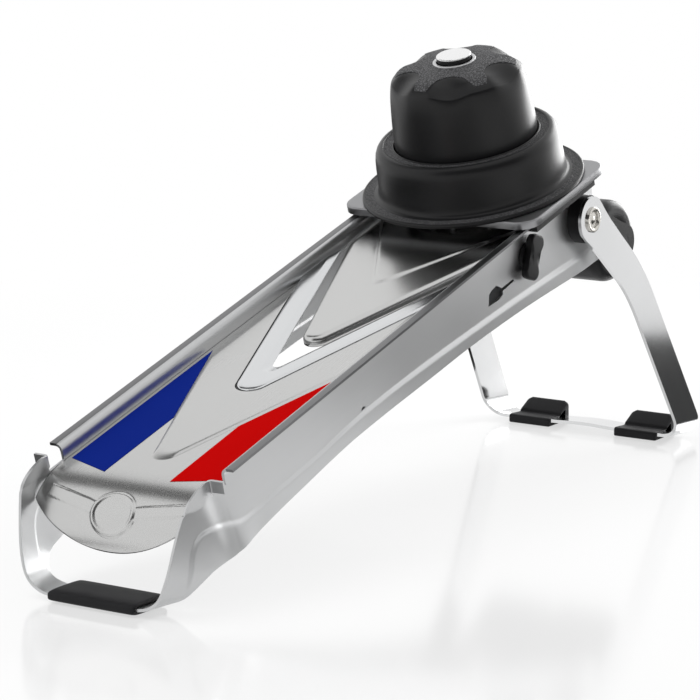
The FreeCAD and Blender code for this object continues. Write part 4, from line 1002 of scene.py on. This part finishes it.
# Roller, cam and arms. A black roller in two moulded halves with round edges on a dark steel shaft; the cam
# between them lifts the follower under the ramp, and black arms carry the shaft from the leg axle.
ROLLER_RADIUS = 24.5
ROLLER_BORE = 4.3
ROLLER_EDGE = 7.0
ROLLER_EDGE_DROP = 5.0
ROLLER_EDGE_STEPS = 12
ROLLER_INNER_EDGE = 0.4
ROLLER_END_RADIUS = 17.5
ROLLER_POINTS = 120
roller_plastic = moulded_black("roller_black_plastic", (0.010, 0.010, 0.011),
                               rough=0.36, pitch=1200.0, depth=0.25)
roller_axis = Vector(joints["roller_turn"]["pos_m"])
for name, side in (("left_roller", 1), ("right_roller", -1)):
    low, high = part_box(name)
    near, far = sorted((abs(low.y), abs(high.y)))
    near, far = near / MM, far / MM
    roller_profile = [(ROLLER_BORE, near), (ROLLER_RADIUS - ROLLER_INNER_EDGE, near),
                      (ROLLER_RADIUS, near + ROLLER_INNER_EDGE)]
    for step in range(ROLLER_EDGE_STEPS + 1):
        turn = math.pi / 2 * step / ROLLER_EDGE_STEPS
        roller_profile.append((ROLLER_RADIUS - ROLLER_EDGE_DROP * (1 - math.cos(turn)),
                               far - ROLLER_EDGE * (1 - math.sin(turn))))
    roller_profile += [(ROLLER_END_RADIUS, far), (ROLLER_BORE, far), (ROLLER_BORE, near)]
    roller_rows = []
    for radius, off in roller_profile:
        row = []
        for angle in round_angles(ROLLER_POINTS):
            row.append(roller_axis + (slope * math.cos(angle) + lift * math.sin(angle)) * radius * MM)
            row[-1].y = side * off * MM
        roller_rows.append(row)
    roller = new_piece(name + "_wheel", flat(roller_rows), woven(roller_rows, True), "roller",
                       "black_plastic", [roller_plastic], name)
    soften(roller, edge=0)
for name in ("left_roller_arm", "right_roller_arm"):
    paint_node(name, spacer_plastic)
for name in ("thickness_cam", "cam_follower"):
    paint_node(name, inner_plastic_and_gap_shadow)
shaft_steel = brushed_steel("shaft_dark_steel", (0.03, 0.03, 0.032), rough=0.42, depth=0.02)
paint_node("roller_shaft", shaft_steel)

# Lock lever. A waisted black lever moulded with soft edges, on a round collar; its shaft goes through the
# right side and a ring holds it inside.
LEVER_LEAN = math.radians(34)
LEVER_HALF = 13.0
LEVER_END = 7.5
LEVER_WAIST = 5.6
LEVER_WAIST_SHARES = (0.1, 0.7)
LEVER_ROUND_LONG = 0.75
LEVER_ROUND_WIDE = 0.42
LEVER_DISH = 0.8
LEVER_DISH_HALF = 9.0
LEVER_FACE = 0.5
LEVER_POINTS = 64
lever_pin = Vector(joints["lever_turn"]["pos_m"])
lever_up = lift * math.cos(LEVER_LEAN) + slope * math.sin(LEVER_LEAN)
lever_side = slope * math.cos(LEVER_LEAN) - lift * math.sin(LEVER_LEAN)
lever_low, lever_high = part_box("lock_lever")
lever_outline = []
for angle in round_angles(LEVER_POINTS):
    up = math.sin(angle)
    long = math.copysign(abs(up) ** LEVER_ROUND_LONG, up) * LEVER_HALF
    wide = math.copysign(abs(math.cos(angle)) ** LEVER_ROUND_WIDE, math.cos(angle))
    wide *= blend(LEVER_WAIST, LEVER_END, ease(*LEVER_WAIST_SHARES, abs(up)))
    lever_outline.append((wide, long))
lever_thick = (lever_high.y - lever_low.y) / MM
# from the outer face over its edge and down to the collar, as (distance from the outer face, scale)
LEVER_STATIONS = [(0.0, 0.4), (0.0, 0.90), (0.15, 0.95), (0.6, 0.99), (1.2, 1.0), (lever_thick - 0.4, 0.98),
                  (lever_thick, 0.93), (lever_thick, 0.4)]
lever_rows = []
for off, scale in LEVER_STATIONS:
    row = []
    for wide, long in lever_outline:
        dished = LEVER_DISH * (1 - ease(0.0, LEVER_DISH_HALF, abs(long))) if off < LEVER_FACE else 0.0
        row.append(lever_pin + (lever_side * wide + lever_up * long) * scale * MM
                   + across * (lever_low.y + (off + dished) * MM))
    lever_rows.append(row)
lever_points = flat(lever_rows)
lever_faces = woven(lever_rows, True) + [tuple(range(LEVER_POINTS))]
lever_faces.append(tuple(len(lever_points) - 1 - number for number in range(LEVER_POINTS)))
lever_plastic = moulded_black("lever_black_plastic", (0.005, 0.005, 0.0055),
                              rough=0.38, pitch=1000.0, depth=0.2)
lever = new_piece("turn_lever", lever_points, lever_faces, "lever", "black_plastic", [lever_plastic],
                  "lock_lever")
soften(lever, edge=0)
paint_node("lever_collar", lever_plastic)
paint_node("lever_shaft", plain_steel)
paint_node("lever_ring", plain_steel)

# Carriage plate and runners. A grey satin plate with round corners and rolled sides that slides on the rails;
# black runners under it hold the rail flanges.
CARRIAGE_U = 332.0
CARRIAGE_HALF = 45.5
CARRIAGE_TOP = 6.0
CARRIAGE_THICK = 1.2
CARRIAGE_CORNER = 11.0
CARRIAGE_HOLE = 42.4
CARRIAGE_DEEP = 4.5
CARRIAGE_POINTS = 144
PLAN_HALVINGS = 40
# from near the edge over the rolled side, as (inset, drop)
CARRIAGE_STATIONS = [(2.0, 0.0), (0.9, 0.0), (0.45, 0.08), (0.16, 0.3), (0.04, 0.6), (0.0, 1.0),
                     (0.0, CARRIAGE_DEEP)]
carriage_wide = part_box("carriage_plate")[1].y / MM


def rounded_plan(half_long, half_wide, corner, angle):
    """The point of a round-cornered plate that lies in a direction from its middle."""
    cosine, sine = math.cos(angle), math.sin(angle)
    low, high = 0.0, 2 * (half_long + half_wide)
    for _ in range(PLAN_HALVINGS):
        reach = (low + high) / 2
        over_x = max(abs(cosine) * reach - (half_long - corner), 0)
        over_y = max(abs(sine) * reach - (half_wide - corner), 0)
        inside = math.hypot(over_x, over_y) <= corner
        low, high = (reach, high) if inside else (low, reach)
    return low * cosine, low * sine


carriage_rows = [[spot(CARRIAGE_U + CARRIAGE_HOLE * math.cos(angle), CARRIAGE_HOLE * math.sin(angle),
                       CARRIAGE_TOP) for angle in round_angles(CARRIAGE_POINTS)]]
for inset, drop in CARRIAGE_STATIONS:
    row = []
    for angle in round_angles(CARRIAGE_POINTS):
        a, v = rounded_plan(CARRIAGE_HALF - inset, carriage_wide - inset, CARRIAGE_CORNER - inset, angle)
        row.append(spot(CARRIAGE_U + a, v, CARRIAGE_TOP - drop))
    carriage_rows.append(row)
carriage_steel = brushed_steel("carriage_grey_steel", (0.36, 0.362, 0.37), rough=0.42, depth=0.05)
carriage = new_piece("carriage", flat(carriage_rows), woven(carriage_rows, True), "carriage",
                     "carriage_steel", [carriage_steel], "carriage_plate")
thicken(carriage, CARRIAGE_THICK, offset=-1.0, edge=0)
for name in ("left_runner", "right_runner"):
    paint_node(name, inner_plastic_and_gap_shadow)

# Pusher guard. The black lower tier of the pusher, moulded in satin plastic: a wide flange with a grained
# ring, a wall with a soft foot and shoulder, and a grained groove round the cap.
TURN_POINTS = 240
# the grained ring and groove, as the limits of their radius and height
GRAINED_RING = (57.7, 63.1, 8.2, 8.5)
GRAINED_GROOVE = (43.1, 47.9, 35.0, 36.1)


def turned(profile, shift=None):
    """Rings of points round the pusher's axis for a profile of (radius, height)."""
    rows = []
    for radius, w in profile:
        row = []
        for angle in round_angles(TURN_POINTS):
            place = (radius * math.cos(angle), radius * math.sin(angle), w)
            if shift:
                place = shift(*place)
            row.append(spot(CARRIAGE_U + place[0], place[1], place[2]))
        rows.append(row)
    return rows


def satin_black(name, colour, rough):
    """Smooth black moulded plastic with the faint unevenness of a satin mould."""
    finish, place = new_finish(name)
    clouds = noise(place, scale=45.0)
    skin = noise(place, scale=1500.0, rough=0.6)
    surface(place, Base_Color=clouds.tint(colour, toned(colour, 1.35)),
            Roughness=clouds * 0.06 + skin * 0.05 + (rough - 0.05), Specular_IOR_Level=0.32,
            Normal=bumped(skin, strength=0.03))
    return finish


def grained_black(name, colour, rough, pitch):
    """Black plastic with a leather grain: rounded pebbles with narrow valleys between them, the valleys
    painted darker as shade.
    """
    finish, place = new_finish(name)
    pebbles = place.node("TexVoronoi", {"feature": "DISTANCE_TO_EDGE"}, {"Vector": place, "Scale": pitch},
                         "Distance")
    raised = pebbles.step(0.02, 0.24)
    clouds = noise(place, scale=60.0)
    # the valleys between the pebbles are darkened in the colour, a painted shade
    surface(place, Base_Color=raised.tint(toned(colour, 0.35), colour),
            Roughness=clouds * 0.08 - raised * 0.06 + rough, Specular_IOR_Level=0.3,
            Normal=bumped(raised, strength=0.7, distance=0.25 * MM))
    return finish


# from the foot's inner edge over the flange, up the wall, over the groove and down inside, as (radius, w)
GUARD_PROFILE = [
    (51.0, 6.0), (64.0, 6.0), (64.5, 6.4), (64.6, 7.4), (64.4, 8.2), (63.8, 8.6), (63.3, 8.6), (63.1, 8.35),
    (60.4, 8.3), (57.7, 8.35), (57.5, 8.6), (56.6, 8.75), (55.6, 9.2), (54.9, 10.2), (54.5, 11.8),
    (54.3, 14.0), (54.1, 19.0), (53.9, 25.0), (53.6, 29.4), (53.1, 32.4), (52.2, 34.6), (50.9, 36.2),
    (49.6, 36.9), (48.8, 37.05), (48.3, 36.9), (48.0, 36.5), (47.9, 36.0), (45.4, 35.9), (43.1, 35.9),
    (42.9, 36.3), (42.5, 36.6), (42.1, 36.5), (41.85, 36.0), (41.85, 32.0), (46.0, 30.0), (50.4, 24.0),
    (51.0, 9.0), (51.0, 6.2)]
satin_plastic = satin_black("pusher_satin_plastic", (0.0055, 0.0055, 0.006), rough=0.36)
grain_plastic = grained_black("pusher_grained_plastic", (0.085, 0.085, 0.088), rough=0.55, pitch=700.0)
guard_rows = turned(GUARD_PROFILE)
guard = new_piece("guard_tier", flat(guard_rows), woven(guard_rows, True), "carriage", "black_plastic",
                  [satin_plastic, grain_plastic], "pusher_guard")
axis_foot = spot(CARRIAGE_U, 0, 0)
for face in guard.data.polygons:
    place = face.center - axis_foot
    tall = place.dot(lift) / MM
    radius = (place - lift * place.dot(lift)).length / MM
    for inner, outer, lowest, highest in (GRAINED_RING, GRAINED_GROOVE):
        if inner < radius < outer and lowest < tall < highest:
            face.material_index = 1
soften(guard, edge=0)

# Pusher cap. The black upper tier, a bell with a low dome that slides in the guard, with six shallow finger
# bays pressed into its shoulder between the arms of the star.
BAYS = 6
BAY_TURN = math.radians(205)
BAY_OUT = 36.0
BAY_RADIUS = 13.0
BAY_DROP = 3.0
BAY_INSET = 1.0
BAY_SOFTNESS = 1.7
# where the bays fade in, as the limits of the height and of the radius
BAY_FOOT = 38.0
BAY_INNER = 20.0
BAY_DROP_HEIGHTS = (66, 79)
BAY_INSET_HEIGHTS = (54, 77)
BAY_INSET_RADII = (28, 39)
CAP_STEPS = 6
CROWN = 82.4
CROWN_FALL = 0.0030
SHOULDER = 29.0
SHOULDER_FALL = 0.055


def crown_height(radius):
    """The height of the low dome at a distance from its middle."""
    return CROWN - CROWN_FALL * radius ** 2 - SHOULDER_FALL * max(radius - SHOULDER, 0) ** 2


def bay_distance(a, v):
    """How far a point is from the middle of the nearest bay."""
    pitch = 2 * math.pi / BAYS
    turn = math.atan2(v, a)
    middle = BAY_TURN + round((turn - BAY_TURN) / pitch) * pitch
    return math.hypot(a - BAY_OUT * math.cos(middle), v - BAY_OUT * math.sin(middle))


def pressed_bays(a, v, w):
    """A point of the cap after the bays are pressed in."""
    radius = math.hypot(a, v)
    if w < BAY_FOOT or radius < BAY_INNER:
        return a, v, w
    share = max(1 - (bay_distance(a, v) / BAY_RADIUS) ** 2, 0.0) ** BAY_SOFTNESS
    drop = BAY_DROP * share * ease(*BAY_DROP_HEIGHTS, w)
    inset = BAY_INSET * share * ease(*BAY_INSET_HEIGHTS, w) * ease(*BAY_INSET_RADII, radius)
    return a * (1 - inset / radius), v * (1 - inset / radius), w - drop


# the cap's parts from its lower edge up the outside and back down inside, as (radius, w) or as a radius on
# the dome
CAP_SKIRT = [(38.9, -2.6), (39.4, -3.0), (41.0, -3.0), (41.4, -2.6), (41.4, 10.0), (41.4, 30.0), (41.4, 37.0)]
CAP_WALL = [(41.3, 41.0), (41.0, 47.0), (40.6, 53.0), (40.1, 59.0), (39.5, 65.0), (38.7, 70.0), (37.8, 73.6)]
DOME_RADII = (36.6, 35.2, 33.4, 31, 28, 25, 22, 18, 14)
MOUTH_RADIUS = 10.6
CAP_INSIDE = [(10.4, 82.0), (10.4, 79.0), (10.4, 77.0), (30.0, 74.0), (35.0, 66.0), (38.9, 40.0),
              (38.9, 20.0), (38.9, -2.6)]
cap_dome = [(radius, crown_height(radius)) for radius in DOME_RADII]
cap_profile = CAP_SKIRT + through(CAP_WALL + cap_dome, CAP_STEPS)
cap_profile += [(MOUTH_RADIUS, crown_height(MOUTH_RADIUS)), *CAP_INSIDE]
cap_rows = turned(cap_profile, pressed_bays)
cap = new_piece("cap_tier", flat(cap_rows), woven(cap_rows, True), "pusher", "black_plastic", [satin_plastic],
                "pusher_cap")
soften(cap, edge=0)

# Star grip and cap ring. A grained six-armed star lies on the dome between the bays, and a pale ring frames
# the button's post in its middle.
STAR_OUT = 35.0
STAR_TALL = 0.45
STAR_GAP = 0.2
STAR_POINTS = 360
STAR_TRIES = 400
STAR_SMOOTHING = range(-3, 4)
RING_OUT = 12.5
RING_GAP = 0.05
# from under the star's edge over it to the ring, as (share of the reach, rise over the dome)
STAR_STATIONS = [(1.0, -0.5), (1.0, 0.2), (0.992, 0.38), (0.975, STAR_TALL), (0.85, STAR_TALL),
                 (0.7, STAR_TALL), (0.5, STAR_TALL), (0.3, STAR_TALL), (0.15, STAR_TALL), (0.0, STAR_TALL)]


def star_reach(angle):
    """How far the star goes out in a direction before it meets a bay or its round end."""
    for step in range(STAR_TRIES):
        radius = blend(RING_OUT, STAR_OUT, step / (STAR_TRIES - 1))
        if bay_distance(radius * math.cos(angle), radius * math.sin(angle)) < BAY_RADIUS - STAR_GAP:
            return radius
    return STAR_OUT


sharp_reaches = [star_reach(angle) for angle in round_angles(STAR_POINTS)]
star_reaches = []
for number in range(STAR_POINTS):
    near_reaches = [sharp_reaches[(number + off) % STAR_POINTS] for off in STAR_SMOOTHING]
    star_reaches.append(sum(near_reaches) / len(near_reaches))
star_rows = []
for share, rise in STAR_STATIONS:
    row = []
    for angle, reach in zip(round_angles(STAR_POINTS), star_reaches):
        radius = blend(RING_OUT + RING_GAP, reach, share)
        row.append(spot(CARRIAGE_U + radius * math.cos(angle), radius * math.sin(angle),
                        crown_height(radius) + rise))
    star_rows.append(row)
star_plastic = grained_black("star_grained_plastic", (0.095, 0.095, 0.099), rough=0.58, pitch=620.0)
star = new_piece("star_pad", flat(star_rows), woven(star_rows, True), "pusher", "black_plastic",
                 [star_plastic], "star_grip")
soften(star, edge=0)


def pale_ring(name, colour):
    """A satin moulded ring in pale grey."""
    finish, place = new_finish(name)
    clouds = noise(place, scale=240.0)
    surface(place, Base_Color=clouds.tint(toned(colour, 0.9), colour), Roughness=clouds * 0.1 + 0.3,
            Metallic=0.6)
    return finish


# from the ring's inner foot over its top to its outer foot, as (radius, w)
RING_PROFILE = [(10.45, 81.6), (10.45, 82.55), (10.7, 82.75), (12.0, 82.75), (12.4, 82.6), (RING_OUT, 82.3),
                (RING_OUT, 81.6)]
ring_rows = turned(RING_PROFILE)
cap_ring = new_piece("button_ring", flat(ring_rows), woven(ring_rows, True), "pusher", "grey_plastic",
                     [pale_ring("ring_pale_grey", (0.62, 0.62, 0.63))], "cap_ring")
soften(cap_ring, edge=0)

# Button, post, stem and ejector. A plain silver disc with a rounded rim on a black post; the stem carries the
# ejector plate under the cap, and pressing the button frees the food from the prongs.
button_steel = brushed_steel("button_silver", (0.90, 0.90, 0.90), rough=0.22, depth=0.05)
# from the disc's middle over its rim to its underside, and up the post, as (radius, w)
BUTTON_PROFILE = [(0.4, 86.17), (5.0, 86.17), (8.8, 86.14), (9.5, 86.05), (9.9, 85.8), (10.0, 85.5),
                  (9.95, 85.2), (9.7, 85.0), (8.0, 85.0)]
POST_PROFILE = [(9.3, 75.7), (9.4, 82.0), (9.8, 82.6), (9.8, 84.6), (9.6, 85.0)]
button_rows = turned(BUTTON_PROFILE)
button_faces = woven(button_rows, True) + [tuple(range(TURN_POINTS))]
button = new_piece("silver_button", flat(button_rows), button_faces, "button", "silver_button",
                   [button_steel], "eject_button")
soften(button, edge=0)
post_rows = turned(POST_PROFILE)
post_faces = woven(post_rows, True) + [tuple(range(TURN_POINTS))]
post = new_piece("post", flat(post_rows), post_faces, "button", "black_plastic", [satin_plastic],
                 "button_post")
soften(post, edge=0)
paint_node("ejector_plate", inner_plastic_and_gap_shadow)
paint_node("ejector_stem", plain_steel)
paint_node("prong_plate", inner_plastic_and_gap_shadow)
paint_node("prongs", plain_steel)
paint_node("eject_spring", plain_steel)

# Floor. A plain white sheet under the slicer, which keeps a soft trace of its shadow and a faint blurred
# reflection near it, and fades to plain white further out.
FLOOR_HALF = 6.0
FLOOR_DROP = 0.0002
FLOOR_GLOSS = 0.5
FLOOR_GLOW = 0.6
GLOSS_FADE = (0.28, 0.6)
GLOW_FADE = (0.3, 0.8)
WHITE = (1, 1, 1, 1)


def looked_at(start):
    """1 for a ray from the eye, a mirror or a glass, and 0 for the light that matt surfaces gather."""
    eye, mirror, glass = (start.node("LightPath", {}, {}, f"Is {ray} Ray")
                          for ray in ("Camera", "Glossy", "Transmission"))
    return start.sum_of("MAXIMUM", start.sum_of("MAXIMUM", eye, mirror), glass)


floor_corners = [(-FLOOR_HALF, -FLOOR_HALF, 0), (FLOOR_HALF, -FLOOR_HALF, 0), (FLOOR_HALF, FLOOR_HALF, 0),
                 (-FLOOR_HALF, FLOOR_HALF, 0)]
floor_mesh = bpy.data.meshes.new("floor")
floor_mesh.from_pydata(floor_corners, [], [(0, 1, 2, 3)])
floor = bpy.data.objects.new("floor", floor_mesh)
floor.location.z = -FLOOR_DROP
bpy.context.scene.collection.objects.link(floor)
floor_white, floor_place = new_finish("floor_white")
lit = floor_place.node("BsdfDiffuse", {}, {"Color": (0.86, 0.86, 0.86, 1)})
gloss = floor_place.node("BsdfGlossy", {}, {"Color": WHITE, "Roughness": 0.12})
glow = floor_place.node("Emission", {}, {"Color": WHITE, "Strength": 1.0})
away = floor_place.node("VectorMath", {"operation": "LENGTH"}, {0: floor_place}, "Value")
gloss_share = FLOOR_GLOSS - FLOOR_GLOSS * away.step(*GLOSS_FADE)
glow_share = FLOOR_GLOW + (1 - FLOOR_GLOW) * away.step(*GLOW_FADE)
with_gloss = lit.node("MixShader", {}, {0: gloss_share, 1: lit, 2: gloss})
shown = lit.node("MixShader", {}, {0: looked_at(floor_place) * glow_share, 1: with_gloss, 2: glow})
shown.node("OutputMaterial", {}, {"Surface": shown})
floor_mesh.materials.append(floor_white)

# Studio. A white surround for the eye and for reflections, with softer light on matt surfaces, and two soft
# lamps, overhead and beyond the high end. Dark cards draw the black edges on metal and plastic, and a bright
# card at the high end draws the highlight on the pusher's side.
MATT_LIGHT = 0.55
CARD_LIFT = 0.0006
world = bpy.data.worlds.new("studio")
bpy.context.scene.world = world
world.use_nodes = True
world.node_tree.nodes.clear()
sky = Shade(world.node_tree)
sky_strength = looked_at(sky) * (1 - MATT_LIGHT) + MATT_LIGHT
background = sky.node("Background", {}, {"Color": WHITE, "Strength": sky_strength})
background.node("OutputWorld", {}, {"Surface": background})


def add_card(name, rows, brightness):
    """A card that only reflections see, and only from its face."""
    mesh = bpy.data.meshes.new(name)
    mesh.from_pydata(flat(rows), [], woven(rows))
    card = bpy.data.objects.new(name, mesh)
    bpy.context.scene.collection.objects.link(card)
    card.visible_camera = False
    card.visible_diffuse = False
    card.visible_shadow = False
    card.visible_transmission = False
    card_finish, card_place = new_finish(name)
    grey = (brightness, brightness, brightness, 1)
    shade = card_place.node("Emission", {}, {"Color": grey, "Strength": 1.0})
    clear = card_place.node("BsdfTransparent", {}, {})
    behind = card_place.node("NewGeometry", {}, {}, "Backfacing")
    card_face = shade.node("MixShader", {}, {0: behind, 1: shade, 2: clear})
    card_face.node("OutputMaterial", {}, {"Surface": card_face})
    mesh.materials.append(card_finish)


def standing(radius, turns, heights):
    """A card that stands bent round the slicer, through some turns in degrees."""
    angles = [math.radians(turn) for turn in turns]
    return [[(radius * math.cos(angle), radius * math.sin(angle), z) for angle in angles] for z in heights]


def lying(x1, y1, x2, y2, z=CARD_LIFT):
    """A level card between two corners; it faces down where just one of its sides runs backwards."""
    return [[(x1, y1, z), (x2, y1, z)], [(x1, y2, z), (x2, y2, z)]]


front_turns = range(285, 160, -5)
high_end_turns = range(12, -21, -4)
add_card("front_flag", standing(1.1, front_turns, heights=(0.3, 0.7, 1.3)), brightness=0.05)
add_card("right_card", standing(1.2, high_end_turns, heights=(0.001, 0.4, 0.8)), brightness=7.0)
add_card("left_mat", lying(-0.40, 0.09, 0.30, 0.60), brightness=0.03)
add_card("front_mat", lying(-0.60, -0.50, -0.10, -0.10), brightness=0.40)
add_card("rear_mat", lying(0.22, -0.75, 0.72, -0.08), brightness=0.06)
add_card("back_mat", lying(0.40, 0.40, 1.50, 1.40), brightness=0.03)
add_card("top_card", lying(0.10, 0.10, -0.22, 0.80, z=0.69), brightness=0.10)


def add_lamp(name, place, target, wide, tall, watts):
    """A soft rectangular lamp that reflections don't show."""
    lamp = bpy.data.lights.new(name, "AREA")
    lamp.shape = "RECTANGLE"
    lamp.size = wide
    lamp.size_y = tall
    lamp.energy = watts
    holder = bpy.data.objects.new(name, lamp)
    bpy.context.scene.collection.objects.link(holder)
    holder.location = place
    holder.rotation_euler = (Vector(target) - Vector(place)).to_track_quat("-Z", "Y").to_euler()
    holder.visible_glossy = False


add_lamp("key", place=(-0.5, 0.5, 1.5), target=(0, 0, 0.1), wide=1.2, tall=1.2, watts=14)
add_lamp("rim", place=(1.1, -0.35, 0.55), target=(0.12, 0, 0.18), wide=0.7, tall=0.5, watts=10)

# Camera. The photographed view of the slicer's right side and low end, as a long lens sees it, with its frame
# shifted a little.
AZIMUTH = math.radians(-56.557)
ELEVATION = math.radians(10.932)
ROLL = math.radians(-0.184)
DISTANCE = 1.7564
AIM = Vector((0.20018, 0, 0.0183))
SENSOR = 36.0
LENS = 163.71
SHIFT_ACROSS = -0.01787
SHIFT_UP = 0.00507
camera_data = bpy.data.cameras.new("camera")
camera_data.sensor_width = SENSOR
camera_data.lens = LENS
camera_data.shift_x = SHIFT_ACROSS
camera_data.shift_y = SHIFT_UP
camera = bpy.data.objects.new("camera", camera_data)
bpy.context.scene.collection.objects.link(camera)
back = Vector((math.sin(AZIMUTH) * math.cos(ELEVATION), -math.cos(AZIMUTH) * math.cos(ELEVATION),
               math.sin(ELEVATION)))
level = Vector((math.cos(AZIMUTH), math.sin(AZIMUTH), 0))
right = level * math.cos(ROLL) + back.cross(level) * math.sin(ROLL)
turned_view = Matrix((right, back.cross(right), back)).transposed().to_4x4()
camera.matrix_world = Matrix.Translation(rail_start + AIM + back * DISTANCE) @ turned_view
bpy.context.scene.camera = camera
bpy.context.scene.view_settings.view_transform = "Standard"
